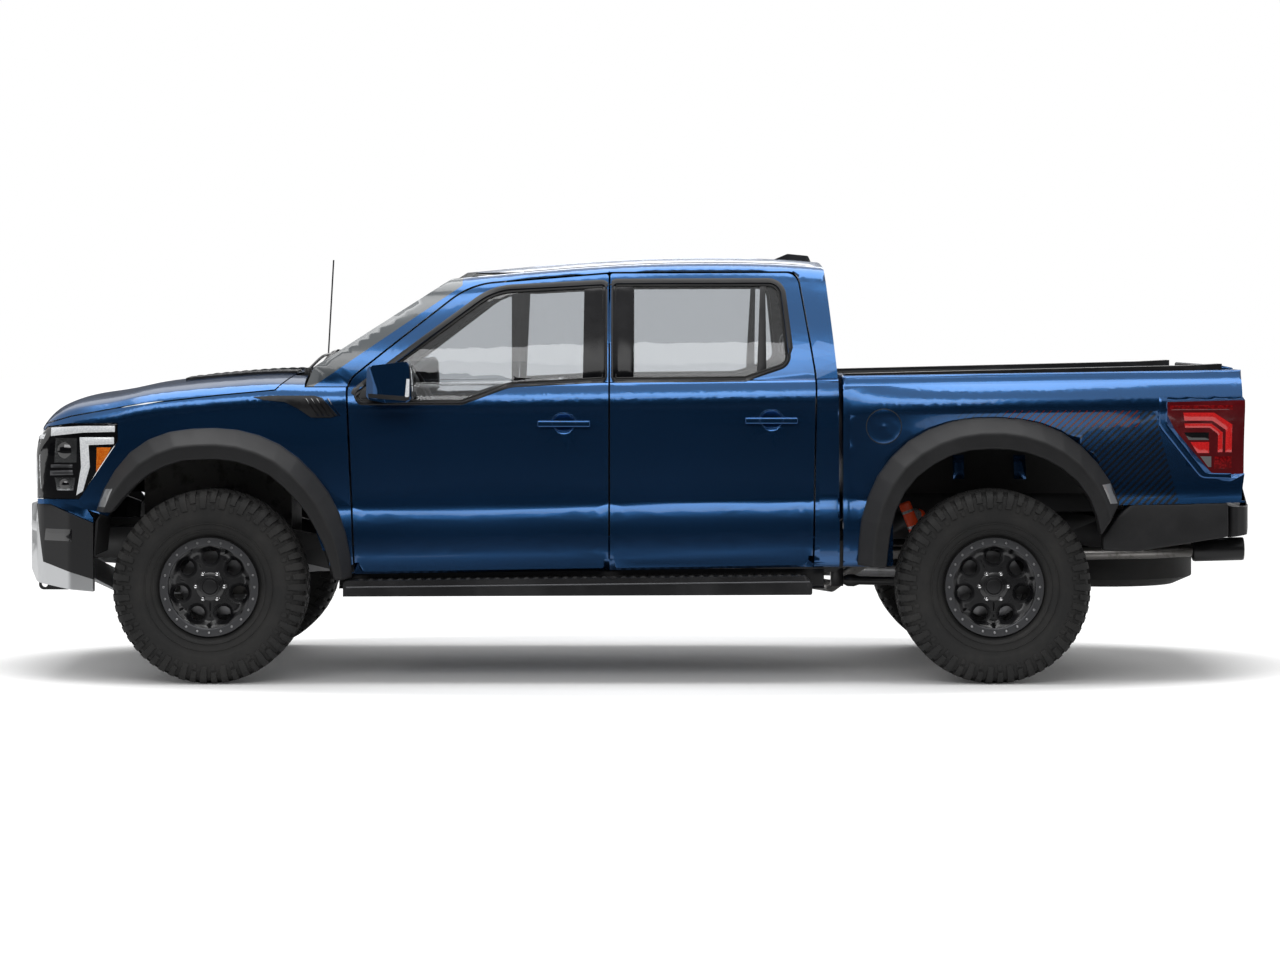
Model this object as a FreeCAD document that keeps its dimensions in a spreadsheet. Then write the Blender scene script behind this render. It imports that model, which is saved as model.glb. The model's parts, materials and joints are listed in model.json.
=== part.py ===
# Crew-cab off-road pickup truck, in millimetres.
# X runs from the nose to the tail, Y to the truck's right, Z up from the ground.
import FreeCAD, Part
import math
import os
import Sketcher

Vector = FreeCAD.Vector
doc = FreeCAD.newDocument("Pickup")

# Driving dimensions
SIZES = [
    ("front_axle_x", -2030, "front axle line"),
    ("wheelbase", 3700, "between the axles"),
    ("tread_width", 1870, "between the wheels' middles"),
    ("tyre_radius", 457, "ground to wheel centre and out to the lugs' tips"),
    ("tyre_width", 318, "over the sidewalls"),
    ("tyre_wall", 16, "carcass thickness"),
    ("bead_radius", 219, "where the tyre sits on the rim"),
    ("rim_width", 216, "between the flanges"),
    ("flange_radius", 236, "rim's outer edge and clamp ring"),
    ("rim_wall", 11, "barrel thickness"),
    ("flange_thick", 9, "each rim flange"),
    ("hub_radius", 62, "wheel's centre boss"),
    ("spindle_radius", 34, "axle end inside the hub"),
    ("seat_gap", 0.3, "between parts that sit on each other"),
    ("disc_radius", 160, "brake disc"),
    ("disc_thick", 24, "brake disc"),
    ("disc_offset", 62, "wheel middle in to disc middle"),
    ("rim_hole_count", 7, "round openings in the wheel's face"),
    ("rim_hole_radius", 38, "each opening"),
    ("rim_hole_circle", 142, "their pitch radius"),
    ("lug_count", 14, "shoulder lugs on each side of a tyre"),
    ("lug_height", 14, "tread depth"),
    ("bolt_count", 24, "bolts in the wheel's clamp ring"),
    ("bolt_circle", 215, "their pitch radius"),
    ("bolt_radius", 6, "each bolt's head"),
    ("nut_count", 6, "wheel nuts"),
    ("nut_circle", 67.5, "their pitch radius"),
    ("nut_radius", 10, "each wheel nut"),
    ("kingpin_y", 830, "steering axis from the middle"),
    ("body_half", 988, "half-width at the doors"),
    ("body_rake", 0.0153, "rise of the body's lines per mm rearwards"),
    ("sill_z", 530, "underside of the doors"),
    ("belt_z", 1418, "under the side glass"),
    ("roof_z", 2016, "top of the roof"),
    ("skin", 5, "outer panel edge thickness"),
    ("door_thick", 70, "whole door"),
    ("door_inset", 20, "door's inner box back from its skin edge"),
    ("shut_gap", 9, "between doors and body"),
    ("glass_thick", 5, "door glass"),
    ("door_front_x", -1346, "front door's leading edge"),
    ("pillar_x", -146, "between the doors"),
    ("door_rear_x", 832, "rear door's trailing edge"),
    ("cab_back_x", 944, "cab's back wall"),
    ("bed_front_x", 962, "bed's front wall"),
    ("bed_rear_x", 2772, "bed's open end"),
    ("bed_floor_z", 905, "load floor"),
    ("bed_top_z", 1436, "bed rails at X = 0, before the rake"),
    ("bed_half", 800, "half-width of the load space"),
    ("house_half", 645, "half-width between the wheel houses"),
    ("flare_half", 1105, "half-width over the flares"),
    ("hood_thick", 28, "hood panel"),
    ("handle_long", 250, "door handle"),
    ("handle_out", 26, "door handle out from the door"),
    ("hinge_set", 50, "door hinge pins back from the leading edge"),
    ("hinge_in", 22, "door hinge pins in from the body's widest line"),
    ("hinge_pin", 5, "door hinge pin radius"),
    ("fender_wall", 6, "front wing panel"),
    ("rail_y", 440, "frame rail middle"),
    ("rail_width", 80, "frame rail"),
    ("rail_height", 150, "frame rail"),
]

sheet = doc.addObject("Spreadsheet::Sheet", "Sizes")
for row, (alias, number, note) in enumerate(SIZES, start=1):
    sheet.set(f"A{row}", note)
    sheet.set(f"B{row}", str(number))
    sheet.setAlias(f"B{row}", alias)
doc.recompute()


def size(alias):
    """A driving dimension as a number."""
    return float(sheet.get(alias))


def bind(part, **expressions):
    """Tie properties of an object to expressions on the sheet."""
    for name, text in expressions.items():
        part.setExpression(name.replace("_at_", "Placement.Base."), str(text))
    return part


def block(x0, x1, y0, y1, z0, z1):
    """A box between two corners, each side given as an expression on the sheet."""
    part = doc.addObject("Part::Box", "Block")
    bind(part, Length=f"({x1}) - ({x0})", Width=f"({y1}) - ({y0})", Height=f"({z1}) - ({z0})")
    return bind(part, _at_x=x0, _at_y=y0, _at_z=z0)


def rod(radius, length, x, y, z, along="y"):
    """A cylinder that starts at a point and runs along an axis."""
    part = doc.addObject("Part::Cylinder", "Rod")
    turn = {"x": FreeCAD.Rotation(Vector(0, 1, 0), 90), "y": FreeCAD.Rotation(Vector(1, 0, 0), -90),
            "z": FreeCAD.Rotation()}[along]
    part.Placement = FreeCAD.Placement(Vector(0, 0, 0), turn)
    return bind(part, Radius=radius, Height=length, _at_x=x, _at_y=y, _at_z=z)


def solid(shape, label="Form"):
    """A feature that holds a shape worked out from the sheet's values."""
    part = doc.addObject("Part::Feature", label)
    part.Shape = shape
    part.Placement = FreeCAD.Placement()
    return part


def join(parts, label="Joined"):
    fused = doc.addObject("Part::MultiFuse", label)
    fused.Shapes = parts
    fused.Refine = True
    return fused


def minus(base, tool, label="Cut"):
    part = doc.addObject("Part::Cut", label)
    part.Base = base
    part.Tool = tool
    return part


def mirrored(part, label="Mirror"):
    """The same piece on the truck's other side."""
    copy = doc.addObject("Part::Mirroring", label)
    copy.Source = part
    copy.Normal = Vector(0, 1, 0)
    return copy


def outline(points):
    """Sketch edges through points (u, v) or (u, v, corner radius), closed."""
    count = len(points)
    corners = []
    for index, point in enumerate(points):
        here = Vector(point[0], point[1], 0)
        radius = point[2] if len(point) > 2 else 0
        if not radius:
            corners.append((here, here, here))
            continue
        before = points[index - 1]
        after = points[(index + 1) % count]
        back = (Vector(before[0], before[1], 0) - here).normalize()
        ahead = (Vector(after[0], after[1], 0) - here).normalize()
        half = math.acos(max(-1, min(1, back.dot(ahead)))) / 2
        reach = radius / math.tan(half)
        middle = (back + ahead).normalize()
        centre = here + middle * (radius / math.sin(half))
        corners.append((here + back * reach, centre - middle * radius, here + ahead * reach))
    edges = []
    for index, (first, middle, last) in enumerate(corners):
        if first.distanceToPoint(last) > 1e-6:
            edges.append(Part.Arc(first, middle, last))
        following = corners[(index + 1) % count][0]
        if last.distanceToPoint(following) > 1e-3:
            edges.append(Part.LineSegment(last, following))
    return edges


PLANES = {"side": "XZ_Plane", "top": "XY_Plane", "front": "YZ_Plane"}


def sketched_body(label, view, points, offset):
    """A PartDesign body with one closed sketch on an origin plane, moved out by an offset."""
    body = doc.addObject("PartDesign::Body", label)
    plane = [item for item in body.Origin.OriginFeatures if item.Role == PLANES[view]][0]
    sketch = body.newObject("Sketcher::SketchObject", "Outline")
    sketch.AttachmentSupport = [(plane, "")]
    sketch.MapMode = "FlatFace"
    sketch.AttachmentOffset = FreeCAD.Placement(Vector(0, 0, offset), FreeCAD.Rotation())
    for edge in outline(points):
        sketch.addGeometry(edge, False)
    return body, sketch


def pad(label, view, points, low, high):
    """An outline seen from the side, top or front, padded from low to high across that view."""
    offset = -high if view == "side" else low
    body, sketch = sketched_body(label, view, points, offset)
    feature = body.newObject("PartDesign::Pad", "Pad")
    feature.Profile = sketch
    feature.Length = high - low
    return body


def prism(points, low, high):
    """The same as a bare shape: a side-view outline carried from y = low to y = high."""
    edges = [edge.toShape() for edge in outline(points)]
    face = Part.Face(Part.Wire(edges))
    face.rotate(Vector(0, 0, 0), Vector(1, 0, 0), 90)
    face.translate(Vector(0, low, 0))
    return face.extrude(Vector(0, high - low, 0))


def top_prism(points, low, high):
    """A plan outline carried from z = low to z = high."""
    face = Part.Face(Part.Wire([edge.toShape() for edge in outline(points)]))
    face.translate(Vector(0, 0, low))
    return face.extrude(Vector(0, 0, high - low))


def bar(start, end, radius):
    """A round bar between two points."""
    start = Vector(*start)
    run = Vector(*end) - start
    return Part.makeCylinder(radius, run.Length, start, run)


def pipe(points, radius):
    """Round bars end to end with a ball at each bend."""
    shape = bar(points[0], points[1], radius)
    for first, second in zip(points[1:], points[2:]):
        shape = shape.fuse([Part.makeSphere(radius, Vector(*first)), bar(first, second, radius)])
    return shape.removeSplitter()


def at_rake(x):
    return size("body_rake") * x


def section(x, half, inset):
    """One cross-section wire at x from half of its outline, moved in by an inset."""
    rise = at_rake(x)
    spots = [(y - ky * inset, z - kz * inset + rise) for y, z, ky, kz in half]
    right = [Vector(x, y, z) for y, z in spots]
    left = [Vector(x, -y, z) for y, z in spots]

    def curves(points):
        made = []
        for index in range(0, len(points) - 2, 2):
            curve = Part.BSplineCurve()
            curve.interpolate(points[index:index + 3])
            made.append(curve.toShape())
        return made

    bottom = [Part.LineSegment(left[0], right[0]).toShape()]
    return Part.Wire(bottom + curves(right) + curves(left[::-1]))


def side_half(w, bottom):
    """Body side from the sill up to the shoulder: (y, z, share of inset in y, in z)."""
    return [(w - 26, bottom, 1, 0), (w - 8, bottom + 14, 1, 0), (w, bottom + 36, 1, 0),
            (w + 9, 655, 1, 0), (w + 8, 745, 1, 0), (w, 802, 1, 0), (w - 14, 858, 1, 0)]


def cab_half(x, inset):
    """Half of the cab's cross-section: sill, crease, shoulder, glass plane and roof."""
    w = size("body_half")
    belt = size("belt_z")
    roof = size("roof_z")
    drops = [(-1750, 110), (-850, 52), (-400, 19), (0, 0), (300, -2), (675, 10), (990, 44)]
    below = max(spot for spot in drops[:-1] if spot[0] <= x)
    above = drops[drops.index(below) + 1]
    share = (x - below[0]) / (above[0] - below[0])
    drop = below[1] + share * (above[1] - below[1])
    bottom = size("sill_z") - (150 if inset else 0)
    side = side_half(w, bottom)
    upper = [(w - 4, 1080, 1, 0), (w - 1, belt - 128, 1, 0), (w - 4, belt - 58, 1, 0), (w - 33, belt, 1, 0),
             (w - 43, belt + 3, 1, 0), (w - 53, belt + 7, 1, 0), (w - 126, belt + 272, 1, 0),
             (w - 231, roof - 111 - drop, 1, 0), (w - 273, roof - 58 - drop, 0.8, 0.6),
             (w - 368, roof - 31 - drop, 0.3, 1), (320, roof - 6 - drop, 0, 1), (0, roof - drop, 0, 1)]
    return side + upper


def cab_tube(inset):
    """The cab's full outer form, or its inside at a depth, from the cowl to behind the cab."""
    stations = [-1750, -850, -400, 0, 300, 675, 990]
    return Part.makeLoft([section(x, cab_half(x, inset), inset) for x in stations], True, False)


def nose_half(w, top, inset):
    """Half of the nose's cross-section: side, rounded shoulder and the hood's crown."""
    bottom = size("sill_z") - (150 if inset else 0)
    side = side_half(w, bottom)
    upper = [(w - 5, 960, 1, 0), (w - 1, top - 165, 1, 0), (w - 12, top - 92, 1, 0.2), (w - 60, top - 50, 0.6, 0.8),
             (w - 190, top - 24, 0.1, 1), (w - 330, top - 12, 0, 1), (320, top - 2, 0, 1), (0, top, 0, 1)]
    return side + upper


def nose_tube(inset, lower=0):
    """The nose's full outer form, tapering to the lamps."""
    w = size("body_half")
    stations = [(-2868, 96, 1246), (-2835, 70, 1308), (-2760, 44, 1366), (-2626, 22, 1401), (-2382, 6, 1442),
                (-2139, 1, 1469), (-1896, 0, 1486), (-1620, 0, 1488), (-1340, 0, 1488)]
    wires = [section(x, nose_half(w - narrow, top - lower, inset), inset) for x, narrow, top in stations]
    return Part.makeLoft(wires, True, False)


def grown(points, by):
    """Side-view outline moved outwards by a distance, corner radii kept."""
    count = len(points)
    area = sum(points[i - 1][0] * points[i][1] - points[i][0] * points[i - 1][1] for i in range(count))
    turn = 1 if area > 0 else -1
    moved = []
    for index, point in enumerate(points):
        normals = []
        for first, second in ((points[index - 1], point), (point, points[(index + 1) % count])):
            du = second[0] - first[0]
            dv = second[1] - first[1]
            length = math.hypot(du, dv)
            normals.append((turn * dv / length, -turn * du / length))
        (a, b), (c, e) = normals
        scale = by / (1 + a * c + b * e)
        radius = (point[2],) if len(point) > 2 else ()
        moved.append((point[0] + (a + c) * scale, point[1] + (b + e) * scale) + radius)
    return moved


# Side-view outlines
door_front_x = size("door_front_x")
pillar_x = size("pillar_x")
door_rear_x = size("door_rear_x")
shut = size("shut_gap")
belt = size("belt_z")
sill = size("sill_z")
roof = size("roof_z")


gap = size("seat_gap")


def sill_at(x):
    return sill - 5 + at_rake(x)


front_door = [(door_front_x, sill_at(door_front_x), 25), (door_front_x - 40, belt + 5, 110),
              (-812, 1882, 380), (pillar_x - shut / 2, 1936, 12), (pillar_x - shut / 2, sill_at(pillar_x), 12)]
rear_door = [(pillar_x + shut / 2, sill_at(pillar_x), 12), (pillar_x + shut / 2, 1938, 12), (750, 1941, 60),
             (door_rear_x, 1440, 600), (door_rear_x - 16, sill_at(door_rear_x), 30)]
front_window = [(-1330, belt - 95, 30), (-845, belt - 95, 60), (-620, belt - 12, 200), (-165, belt + 12, 20),
                (-165, 1886, 20), (-700, 1858, 300), (-1352, 1370, 30)]
rear_window = [(-128, belt + 10, 20), (500, belt + 16, 60), (712, 1505, 60), (668, 1893, 60), (-128, 1890, 20)]
roof_line = 2100
hood_edge = [(-2900, 1150), (-2830, 1225), (-2700, 1262), (-2400, 1316), (-2000, 1362), (-1730, 1387),
             (-1655, 1460), (-1655, roof_line), (-2900, roof_line)]
wheel_arch_front = [(-2560, 400), (-2530, 760), (-2440, 940, 200), (-2230, 1100, 300), (-1850, 1100, 300),
                    (-1590, 880, 300), (-1425, 400)]
# Cab, doors and glass
far = 1300
fender_rear = door_front_x - shut
cab_outer = cab_tube(0)
cab_skinned = cab_tube(size("skin"))
cab_inner = cab_tube(size("door_thick"))
cab_back = size("cab_back_x")
cab_side = [(-1585, 960), (-1585, 1400), (-1548, 1492), (-850, 1950, 60), (-700, 2060), (870, 2060),
            (890, 1900, 60), (cab_back - 4, 1430, 60), (cab_back, 780), (cab_back, 545), (-1340, 505),
            (-1400, 510), (-1440, 600), (-1500, 780)]
fender_top_z = 1400
glass_depth = 14


def windshield(half, thick, shrink=0.0):
    """A pane bowed in plan: its front face lies on the screen line at the middle of each side."""
    wires = []
    for x, z, bow, side in ((-1547, 1492, 48, half + 60), (-822, 1947, 42, half - 60)):
        along = shrink / math.hypot(725, 455)
        x = x + 725 * along * (1 if z < 1600 else -1)
        z = z + 455 * along * (1 if z < 1600 else -1)
        width = side - shrink
        front = Part.Arc(Vector(x + 42, -width, z), Vector(x - bow, 0, z), Vector(x + 42, width, z)).toShape()
        rear = Part.Arc(Vector(x + 42 + thick, -width, z), Vector(x - bow + thick, 0, z),
                        Vector(x + 42 + thick, width, z)).toShape()
        ends = [Part.LineSegment(Vector(x + 42, s * width, z), Vector(x + 42 + thick, s * width, z)).toShape()
                for s in (1, -1)]
        wires.append(Part.Wire([front, ends[0], rear, ends[1]]))
    return Part.makeLoft(wires, True, False)


handle_line = 1228
hinge_line_y = size("body_half") - size("hinge_in")
hinge_heights = (700, 1270)
pin_radius = size("hinge_pin")
eye_radius = pin_radius + 6


def hinge_x_of(leading_edge):
    return leading_edge + size("hinge_set")


def hinged(door, leading_edge):
    """Notches in the box's front inner corner, each crossed by a hinge pin."""
    x = hinge_x_of(leading_edge)
    relief = Part.makeBox(size("hinge_set") + 30, 60, 134, Vector(leading_edge - 30, 31 - hinge_line_y, size("sill_z")))
    door = door.cut(relief)
    for z in hinge_heights:
        notch = Part.makeBox(size("hinge_set") + 42, 104, 72, Vector(leading_edge - 30, -hinge_line_y - 14, z - 36))
        pin = Part.makeCylinder(pin_radius, 76, Vector(x, -hinge_line_y, z - 38))
        door = door.cut(notch.cut(cab_outer.cut(cab_skinned))).fuse(pin)
    return door


def hinge_leaves(leading_edge, reach):
    """Cranked arms on the pillar with an eye round each door pin; reach is how far forward they go."""
    x = hinge_x_of(leading_edge)
    made = []
    for z in hinge_heights:
        low = z - 20
        crank = [(x - 9, -hinge_line_y), (x + 9, -hinge_line_y), (x + 9, -835), (x - reach, -835),
                 (x - reach, -880), (x - 9, -880)]
        leaf = top_prism(crank, low, low + 40)
        leaf = leaf.fuse(Part.makeCylinder(eye_radius, 40, Vector(x, -hinge_line_y, low)))
        leaf = leaf.cut(Part.makeCylinder(pin_radius + 0.2, 40, Vector(x, -hinge_line_y, low)))
        made += [leaf, leaf.mirror(Vector(0, 0, 0), Vector(0, 1, 0))]
    return made


def handle(x, z):
    """Pull handle on two feet, its rear end at x."""
    out = size("body_half") + size("handle_out")
    long = size("handle_long")
    grip = Part.makeBox(long, 16, 30, Vector(x - long, -out, z - 15))
    grip = grip.makeFillet(7, grip.Edges)
    for foot in (x - long + 8, x - 38):
        grip = grip.fuse(Part.makeBox(30, out - size("body_half") + 40, 22, Vector(foot, -out + 8, z - 11)))
    return grip


def door_solid(points, window):
    """Skin to the shut line and an inner box set back from it, with the window cut through both."""
    inset = size("door_inset")
    skin = cab_outer.cut(cab_skinned).common(prism(points, -far, -600))
    box = cab_skinned.cut(cab_inner).common(prism(grown(points, -inset), -far, -600))
    box = box.cut(Part.makeBox(9000, 2 * (size("body_half") - 72), 140, Vector(-4500, 72 - size("body_half"), 400)))
    door = skin.fuse(box)
    door = door.cut(prism(window, -far, -500))
    end = points[-1][0] if points is front_door else size("door_rear_x")
    handle_x = end - 85
    handle_z = handle_line + at_rake(handle_x)
    cup = Part.makeSphere(95, Vector(handle_x - size("handle_long") / 2, -size("body_half") - 78, handle_z))
    door = door.cut(cup).fuse(handle(handle_x, handle_z))
    return hinged(door, points[0][0]).removeSplitter()


def door_glass(window):
    """Pane in the window opening, near the outer face."""
    pane = cab_tube(glass_depth).cut(cab_tube(glass_depth + size("glass_thick")))
    return pane.common(prism(grown(window, -gap), -far, -500))


def cab_shell():
    """Roof, pillars, back wall, firewall and floor as one welded shell."""
    shell = cab_outer.common(prism(cab_side, -far, far))
    ahead = [(-1700, 300), (-1700, fender_top_z), (-1402, fender_top_z), (-1402, 300)]
    post = [(-1410, 300), (-1410, fender_top_z), (fender_rear - 40, fender_top_z), (fender_rear, sill), (fender_rear, 300)]
    beside = prism(ahead, 860, far).fuse(prism(post, 930, far))
    shell = shell.cut(beside).cut(beside.mirror(Vector(0, 0, 0), Vector(0, 1, 0)))
    cavity = cab_inner.common(prism([(-1380, 690), (-1450, 790), (-1525, 960), (-1525, 1380), (-1440, 1480),
                                     (-780, 1925), (-700, 2060), (800, 2060), (835, 1900), (885, 1430),
                                     (885, 690)], -far, far))
    under = Part.makeBox(4000, 1600, 255, Vector(-2000, -800, 400))
    kick = Part.makeBox(400, 400, 1005, Vector(-1365 - 400, 800, 395))
    kick = kick.fuse(kick.mirror(Vector(0, 0, 0), Vector(0, 1, 0)))
    shell = shell.cut(cavity.cut(kick)).cut(under)
    for points in (front_door, rear_door):
        opening = prism(grown(points, shut), -far, -600).common(cab_outer.cut(cab_tube(size("door_thick") + 12)))
        shell = shell.cut(opening)
        shell = shell.cut(opening.mirror(Vector(0, 0, 0), Vector(0, 1, 0)))
    shell = shell.cut(windshield(690, 400, 0).translated(Vector(-150, 0, 0)))
    shell = shell.cut(rear_glass(200, 100, 0))
    pillar_inside = cab_tube(130)
    pillar_box = Part.makeBox(130, 2000, 1300, Vector(pillar_x - 55, -1000, 655))
    bow_box = Part.makeBox(110, 1190, 200, Vector(pillar_x - 55, -595, 1800))
    pillars = cab_tube(92).cut(pillar_inside).common(pillar_box)
    bow = cab_tube(size("door_thick") - 1).cut(pillar_inside).common(bow_box)
    leaves = hinge_leaves(door_front_x, 90) + hinge_leaves(pillar_x + shut / 2, 40)
    return shell.fuse([pillars, bow] + leaves).removeSplitter()


def rear_glass(ahead, behind, shrink):
    """Flat pane leaning with the cab's back wall."""
    low = 1470 + shrink
    high = 1850 - shrink
    lean = [(920 - ahead, low), (920 + behind, low), (880 + behind, high), (880 - ahead, high)]
    return prism(lean, -640 + shrink, 640 - shrink)


# Nose: hood and fenders share one outer form and part at the hood's side line
nose_outer = nose_tube(0)
hinge_x = -1600
hinge_y = 610
hinge_z = 1440


def hood_panel():
    """The crowned lid with its underside following the top at the panel's thickness."""
    above = prism(hood_edge, -far, far)
    lid = nose_outer.common(above).cut(nose_tube(0.01, size("hood_thick")))
    neck = [(-1745, 1400, 10), (-1745, 1430), (-1690, 1430, 10), (-1652, 1426, 10), (-1614, 1454), (-1600, 1454, 13),
            (-1586.5, 1440, 13), (-1600, 1426, 13), (-1640, 1412, 10)]
    for low in (-hinge_y - 10, hinge_y - 10):
        arm = prism(neck, low, low + 20)
        lid = lid.fuse(arm.cut(Part.makeCylinder(6.25, 20, Vector(hinge_x, low, hinge_z), Vector(0, 1, 0))))
    return lid.removeSplitter()


def cowl_panel():
    """Plastic panel at the screen's foot, slotted for the hood's hinge arms and their pins."""
    panel = prism([(-1646, 1395), (-1646, 1448), (-1600, 1462), (-1585 - gap, 1462), (-1585 - gap, 1395)], -690, 690)
    for y in (-hinge_y, hinge_y):
        panel = panel.cut(Part.makeBox(100, 40, 100, Vector(-1660, y - 20, 1405)))
        panel = panel.fuse(Part.makeCylinder(6, 50, Vector(hinge_x, y - 25, hinge_z), Vector(0, 1, 0)))
    return panel.removeSplitter()


def fender_pair():
    """Both front wings: thin walls between the lamps, the arch, the hood line and the doors."""
    wall = nose_outer.cut(nose_tube(size("fender_wall")))
    top = fender_top_z - 4
    area = [(-2838, 880), (-2838, 1500), (-1600, 1500), (-1590, top), (fender_rear - 40, top),
            (fender_rear, sill_at(door_front_x)), (-1470, 505), (-1470, 620), (-1900, 700), (-2500, 780)]
    wall = wall.common(prism(area, -far, far))
    wall = wall.cut(prism(grown(hood_edge, 6), -far, far))
    wall = wall.cut(Part.makeBox(3000, 1400, 2000, Vector(-3200, -700, 0)))
    wall = wall.cut(prism(grown(wheel_arch_front, 2), -far, far))
    wall = wall.cut(prism(grown(lamp_side, 3), -far, far))
    return wall.removeSplitter()


lamp_side = [(-2900, 868), (-2660, 868), (-2474, 1143), (-2476, 1226), (-2700, 1224), (-2815, 1208), (-2850, 1166), (-2900, 1150)]


def grille():
    """Grille block with a recess each side of its ribs, above and below the centre bar."""
    half = 560 - gap
    border = 30
    rib = 18
    columns = 6
    wide = (2 * (half - border) - (columns - 1) * rib) / columns
    made = prism([(-2890, 838 + gap), (-2905, 1000), (-2893, 1120), (-2872, 1164), (-2830, 1164),
                  (-2830, 838 + gap)], -half, half)
    for column in range(columns):
        y = border - half + column * (wide + rib)
        for low, high in ((874, 972), (1036, 1128)):
            made = made.cut(Part.makeBox(60, wide, high - low, Vector(-2922, y, low)))
    return made


def lamp_housing():
    """Head lamp block filling the corner behind the nose's outer form."""
    corner = nose_tube(2).common(prism(lamp_side, -far, -560))
    behind = Part.makeBox(600, 840, 600, Vector(-2740, -840, 700))
    return corner.cut(behind).removeSplitter()


# Bed
bed_front = size("bed_front_x")
bed_rear = size("bed_rear_x")
floor_z = size("bed_floor_z")
bed_half = size("bed_half")
house_half = size("house_half")
rear_axle_x = size("front_axle_x") + size("wheelbase")
axle_z = size("tyre_radius")
rear_arch = [(1110, 400), (1125, 760), (1240, 985, 200), (1480, 1150, 250), (1850, 1150, 250), (2090, 985, 200),
             (2190, 760), (2230, 400)]
house_top = 1130
gate_half = 734


def bed_half_section(x, inset):
    """Bedside from the sill to the rail: it swells at the shoulder behind the cab."""
    w = size("body_half")
    top = size("bed_top_z")
    swell = 30 * max(0.0, min(1.0, (x - bed_front) / 330.0))
    side = side_half(w, size("sill_z"))
    upper = [(w - 4, 1080, 1, 0), (w + swell, top - 190, 1, 0), (w + swell - 6, top - 115, 1, 0),
             (w - 18, top - 48, 1, 0), (w - 36, top - 22, 1, 0), (w - 42, top, 1, 0),
             (w - 100, top, 0, 0), (w - 188, top, 0, 0)]
    closed = [(w - 300, top, 0, 0), (0, top, 0, 0)]
    return side + upper + closed


def bed_form(inset=0):
    stations = [bed_front, bed_front + 330, 2500, 2862]
    return Part.makeLoft([section(x, bed_half_section(x, inset), inset) for x in stations], True, False)


def cargo_bed():
    """Open box: front wall, floor, thick sides with wheel arches, and the boxes over the wheels."""
    bed = bed_form()
    under = [(bed_front - 50, 400), (bed_front - 50, 880), (3000, 880), (3000, 400)]
    bed = bed.cut(prism(under, -930, 930))
    bed = bed.cut(Part.makeBox(2740 - bed_front - 40, 2 * bed_half, 900, Vector(bed_front + 40, -bed_half, floor_z)))
    bed = bed.cut(Part.makeBox(400, 2 * gate_half + 12, 900, Vector(2700, -gate_half - 6, floor_z)))
    bed = bed.cut(Part.makeBox(400, 2 * gate_half + 12, 1400, Vector(bed_rear - 14, -gate_half - 6, 500)))
    bed = bed.cut(Part.makeCylinder(9 + 0.25, 2 * gate_half + 50, Vector(2790, -gate_half - 25, floor_z), Vector(0, 1, 0)))
    houses = prism([(1150, floor_z), (1230, house_top - 60, 60), (1320, house_top + 20, 60), (2060, house_top + 20, 60),
                    (2150, house_top - 60, 60), (2240, floor_z)], house_half, bed_half + 20)
    houses = houses.fuse(houses.mirror(Vector(0, 0, 0), Vector(0, 1, 0)))
    bed = bed.fuse(houses)
    arch = prism([(1200, 300), (1200, 900), (1260, house_top - 75, 60), (1330, house_top, 60), (2050, house_top, 60),
                  (2120, house_top - 75, 60), (2190, 900), (2190, 300)], house_half + 12, far)
    arch = arch.fuse(arch.mirror(Vector(0, 0, 0), Vector(0, 1, 0)))
    bed = bed.cut(arch).cut(prism(rear_arch, 940, far)).cut(prism(rear_arch, -far, -940))
    low_tail = [(2140, 300), (2140, 640), (2230, 838), (3000, 856), (3000, 300)]
    bed = bed.cut(prism(low_tail, -far, far))
    tail = [(2845, 860), (2862, 985), (2862, 1331), (2846, 1355), (2851, 1600), (3000, 1600), (3000, 860)]
    bed = bed.cut(prism(tail, -far, far))
    for side in (1, -1):
        bed = bed.cut(lamp_space(side))
    return bed.removeSplitter()


lamp_rear = [(2486, 1328), (2830, 1337), (2900, 1337), (2900, 990), (2713, 983), (2529, 1195), (2491, 1266)]


def lamp_space(side):
    low, high = sorted((side * 915, side * far))
    return prism(lamp_rear, low, high)


def tail_lamp():
    """Lens block in the corner of the bedside."""
    block = bed_form().common(prism(grown(lamp_rear, -gap), -far, -915 - gap))
    return block.common(prism([(2400, 900), (2858, 900), (2858, 1400), (2400, 1400)], -far, far))


def spaced(points, count):
    """The same line as evenly spaced points."""
    lengths = [0.0]
    for first, second in zip(points, points[1:]):
        lengths.append(lengths[-1] + math.dist(first, second))
    made = []
    for index in range(count):
        goal = lengths[-1] * index / (count - 1)
        spot = max(i for i in range(len(points) - 1) if lengths[i] <= goal + 1e-9)
        share = (goal - lengths[spot]) / (lengths[spot + 1] - lengths[spot])
        made.append(tuple(a + share * (b - a) for a, b in zip(points[spot], points[spot + 1])))
    return made


def flare(axle, outer, inner, body):
    """Wheel-arch flare: from the outer line it leans out to a crease, then runs to the arch edge."""
    reach = size("flare_half")
    crease_share = 0.53
    wires = []
    for (xo, zo), (xi, zi) in zip(spaced(outer, 18), spaced(inner, 18)):
        xo += axle
        xi += axle
        xc = xo + crease_share * (xi - xo)
        zc = zo + crease_share * (zi - zo)
        spots = [(xo, 970, zo), (xo, 1022, zo), (xc, reach, zc), (xi, reach - 15, zi), (xi, 970, zi)]
        wires.append(Part.makePolygon([Vector(*spot) for spot in spots + spots[:1]]))
    band = Part.makeLoft(wires, True, True)
    return band.cut(body)


def liner(points, low, high, thick):
    """Inner arch sheet: a strip that follows an arch line."""
    line = spaced(points, len(points))
    outer = grown(points[:] + [(points[-1][0], 200), (points[0][0], 200)], thick)[:len(points)]
    return prism(line + outer[::-1], low, high)


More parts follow.
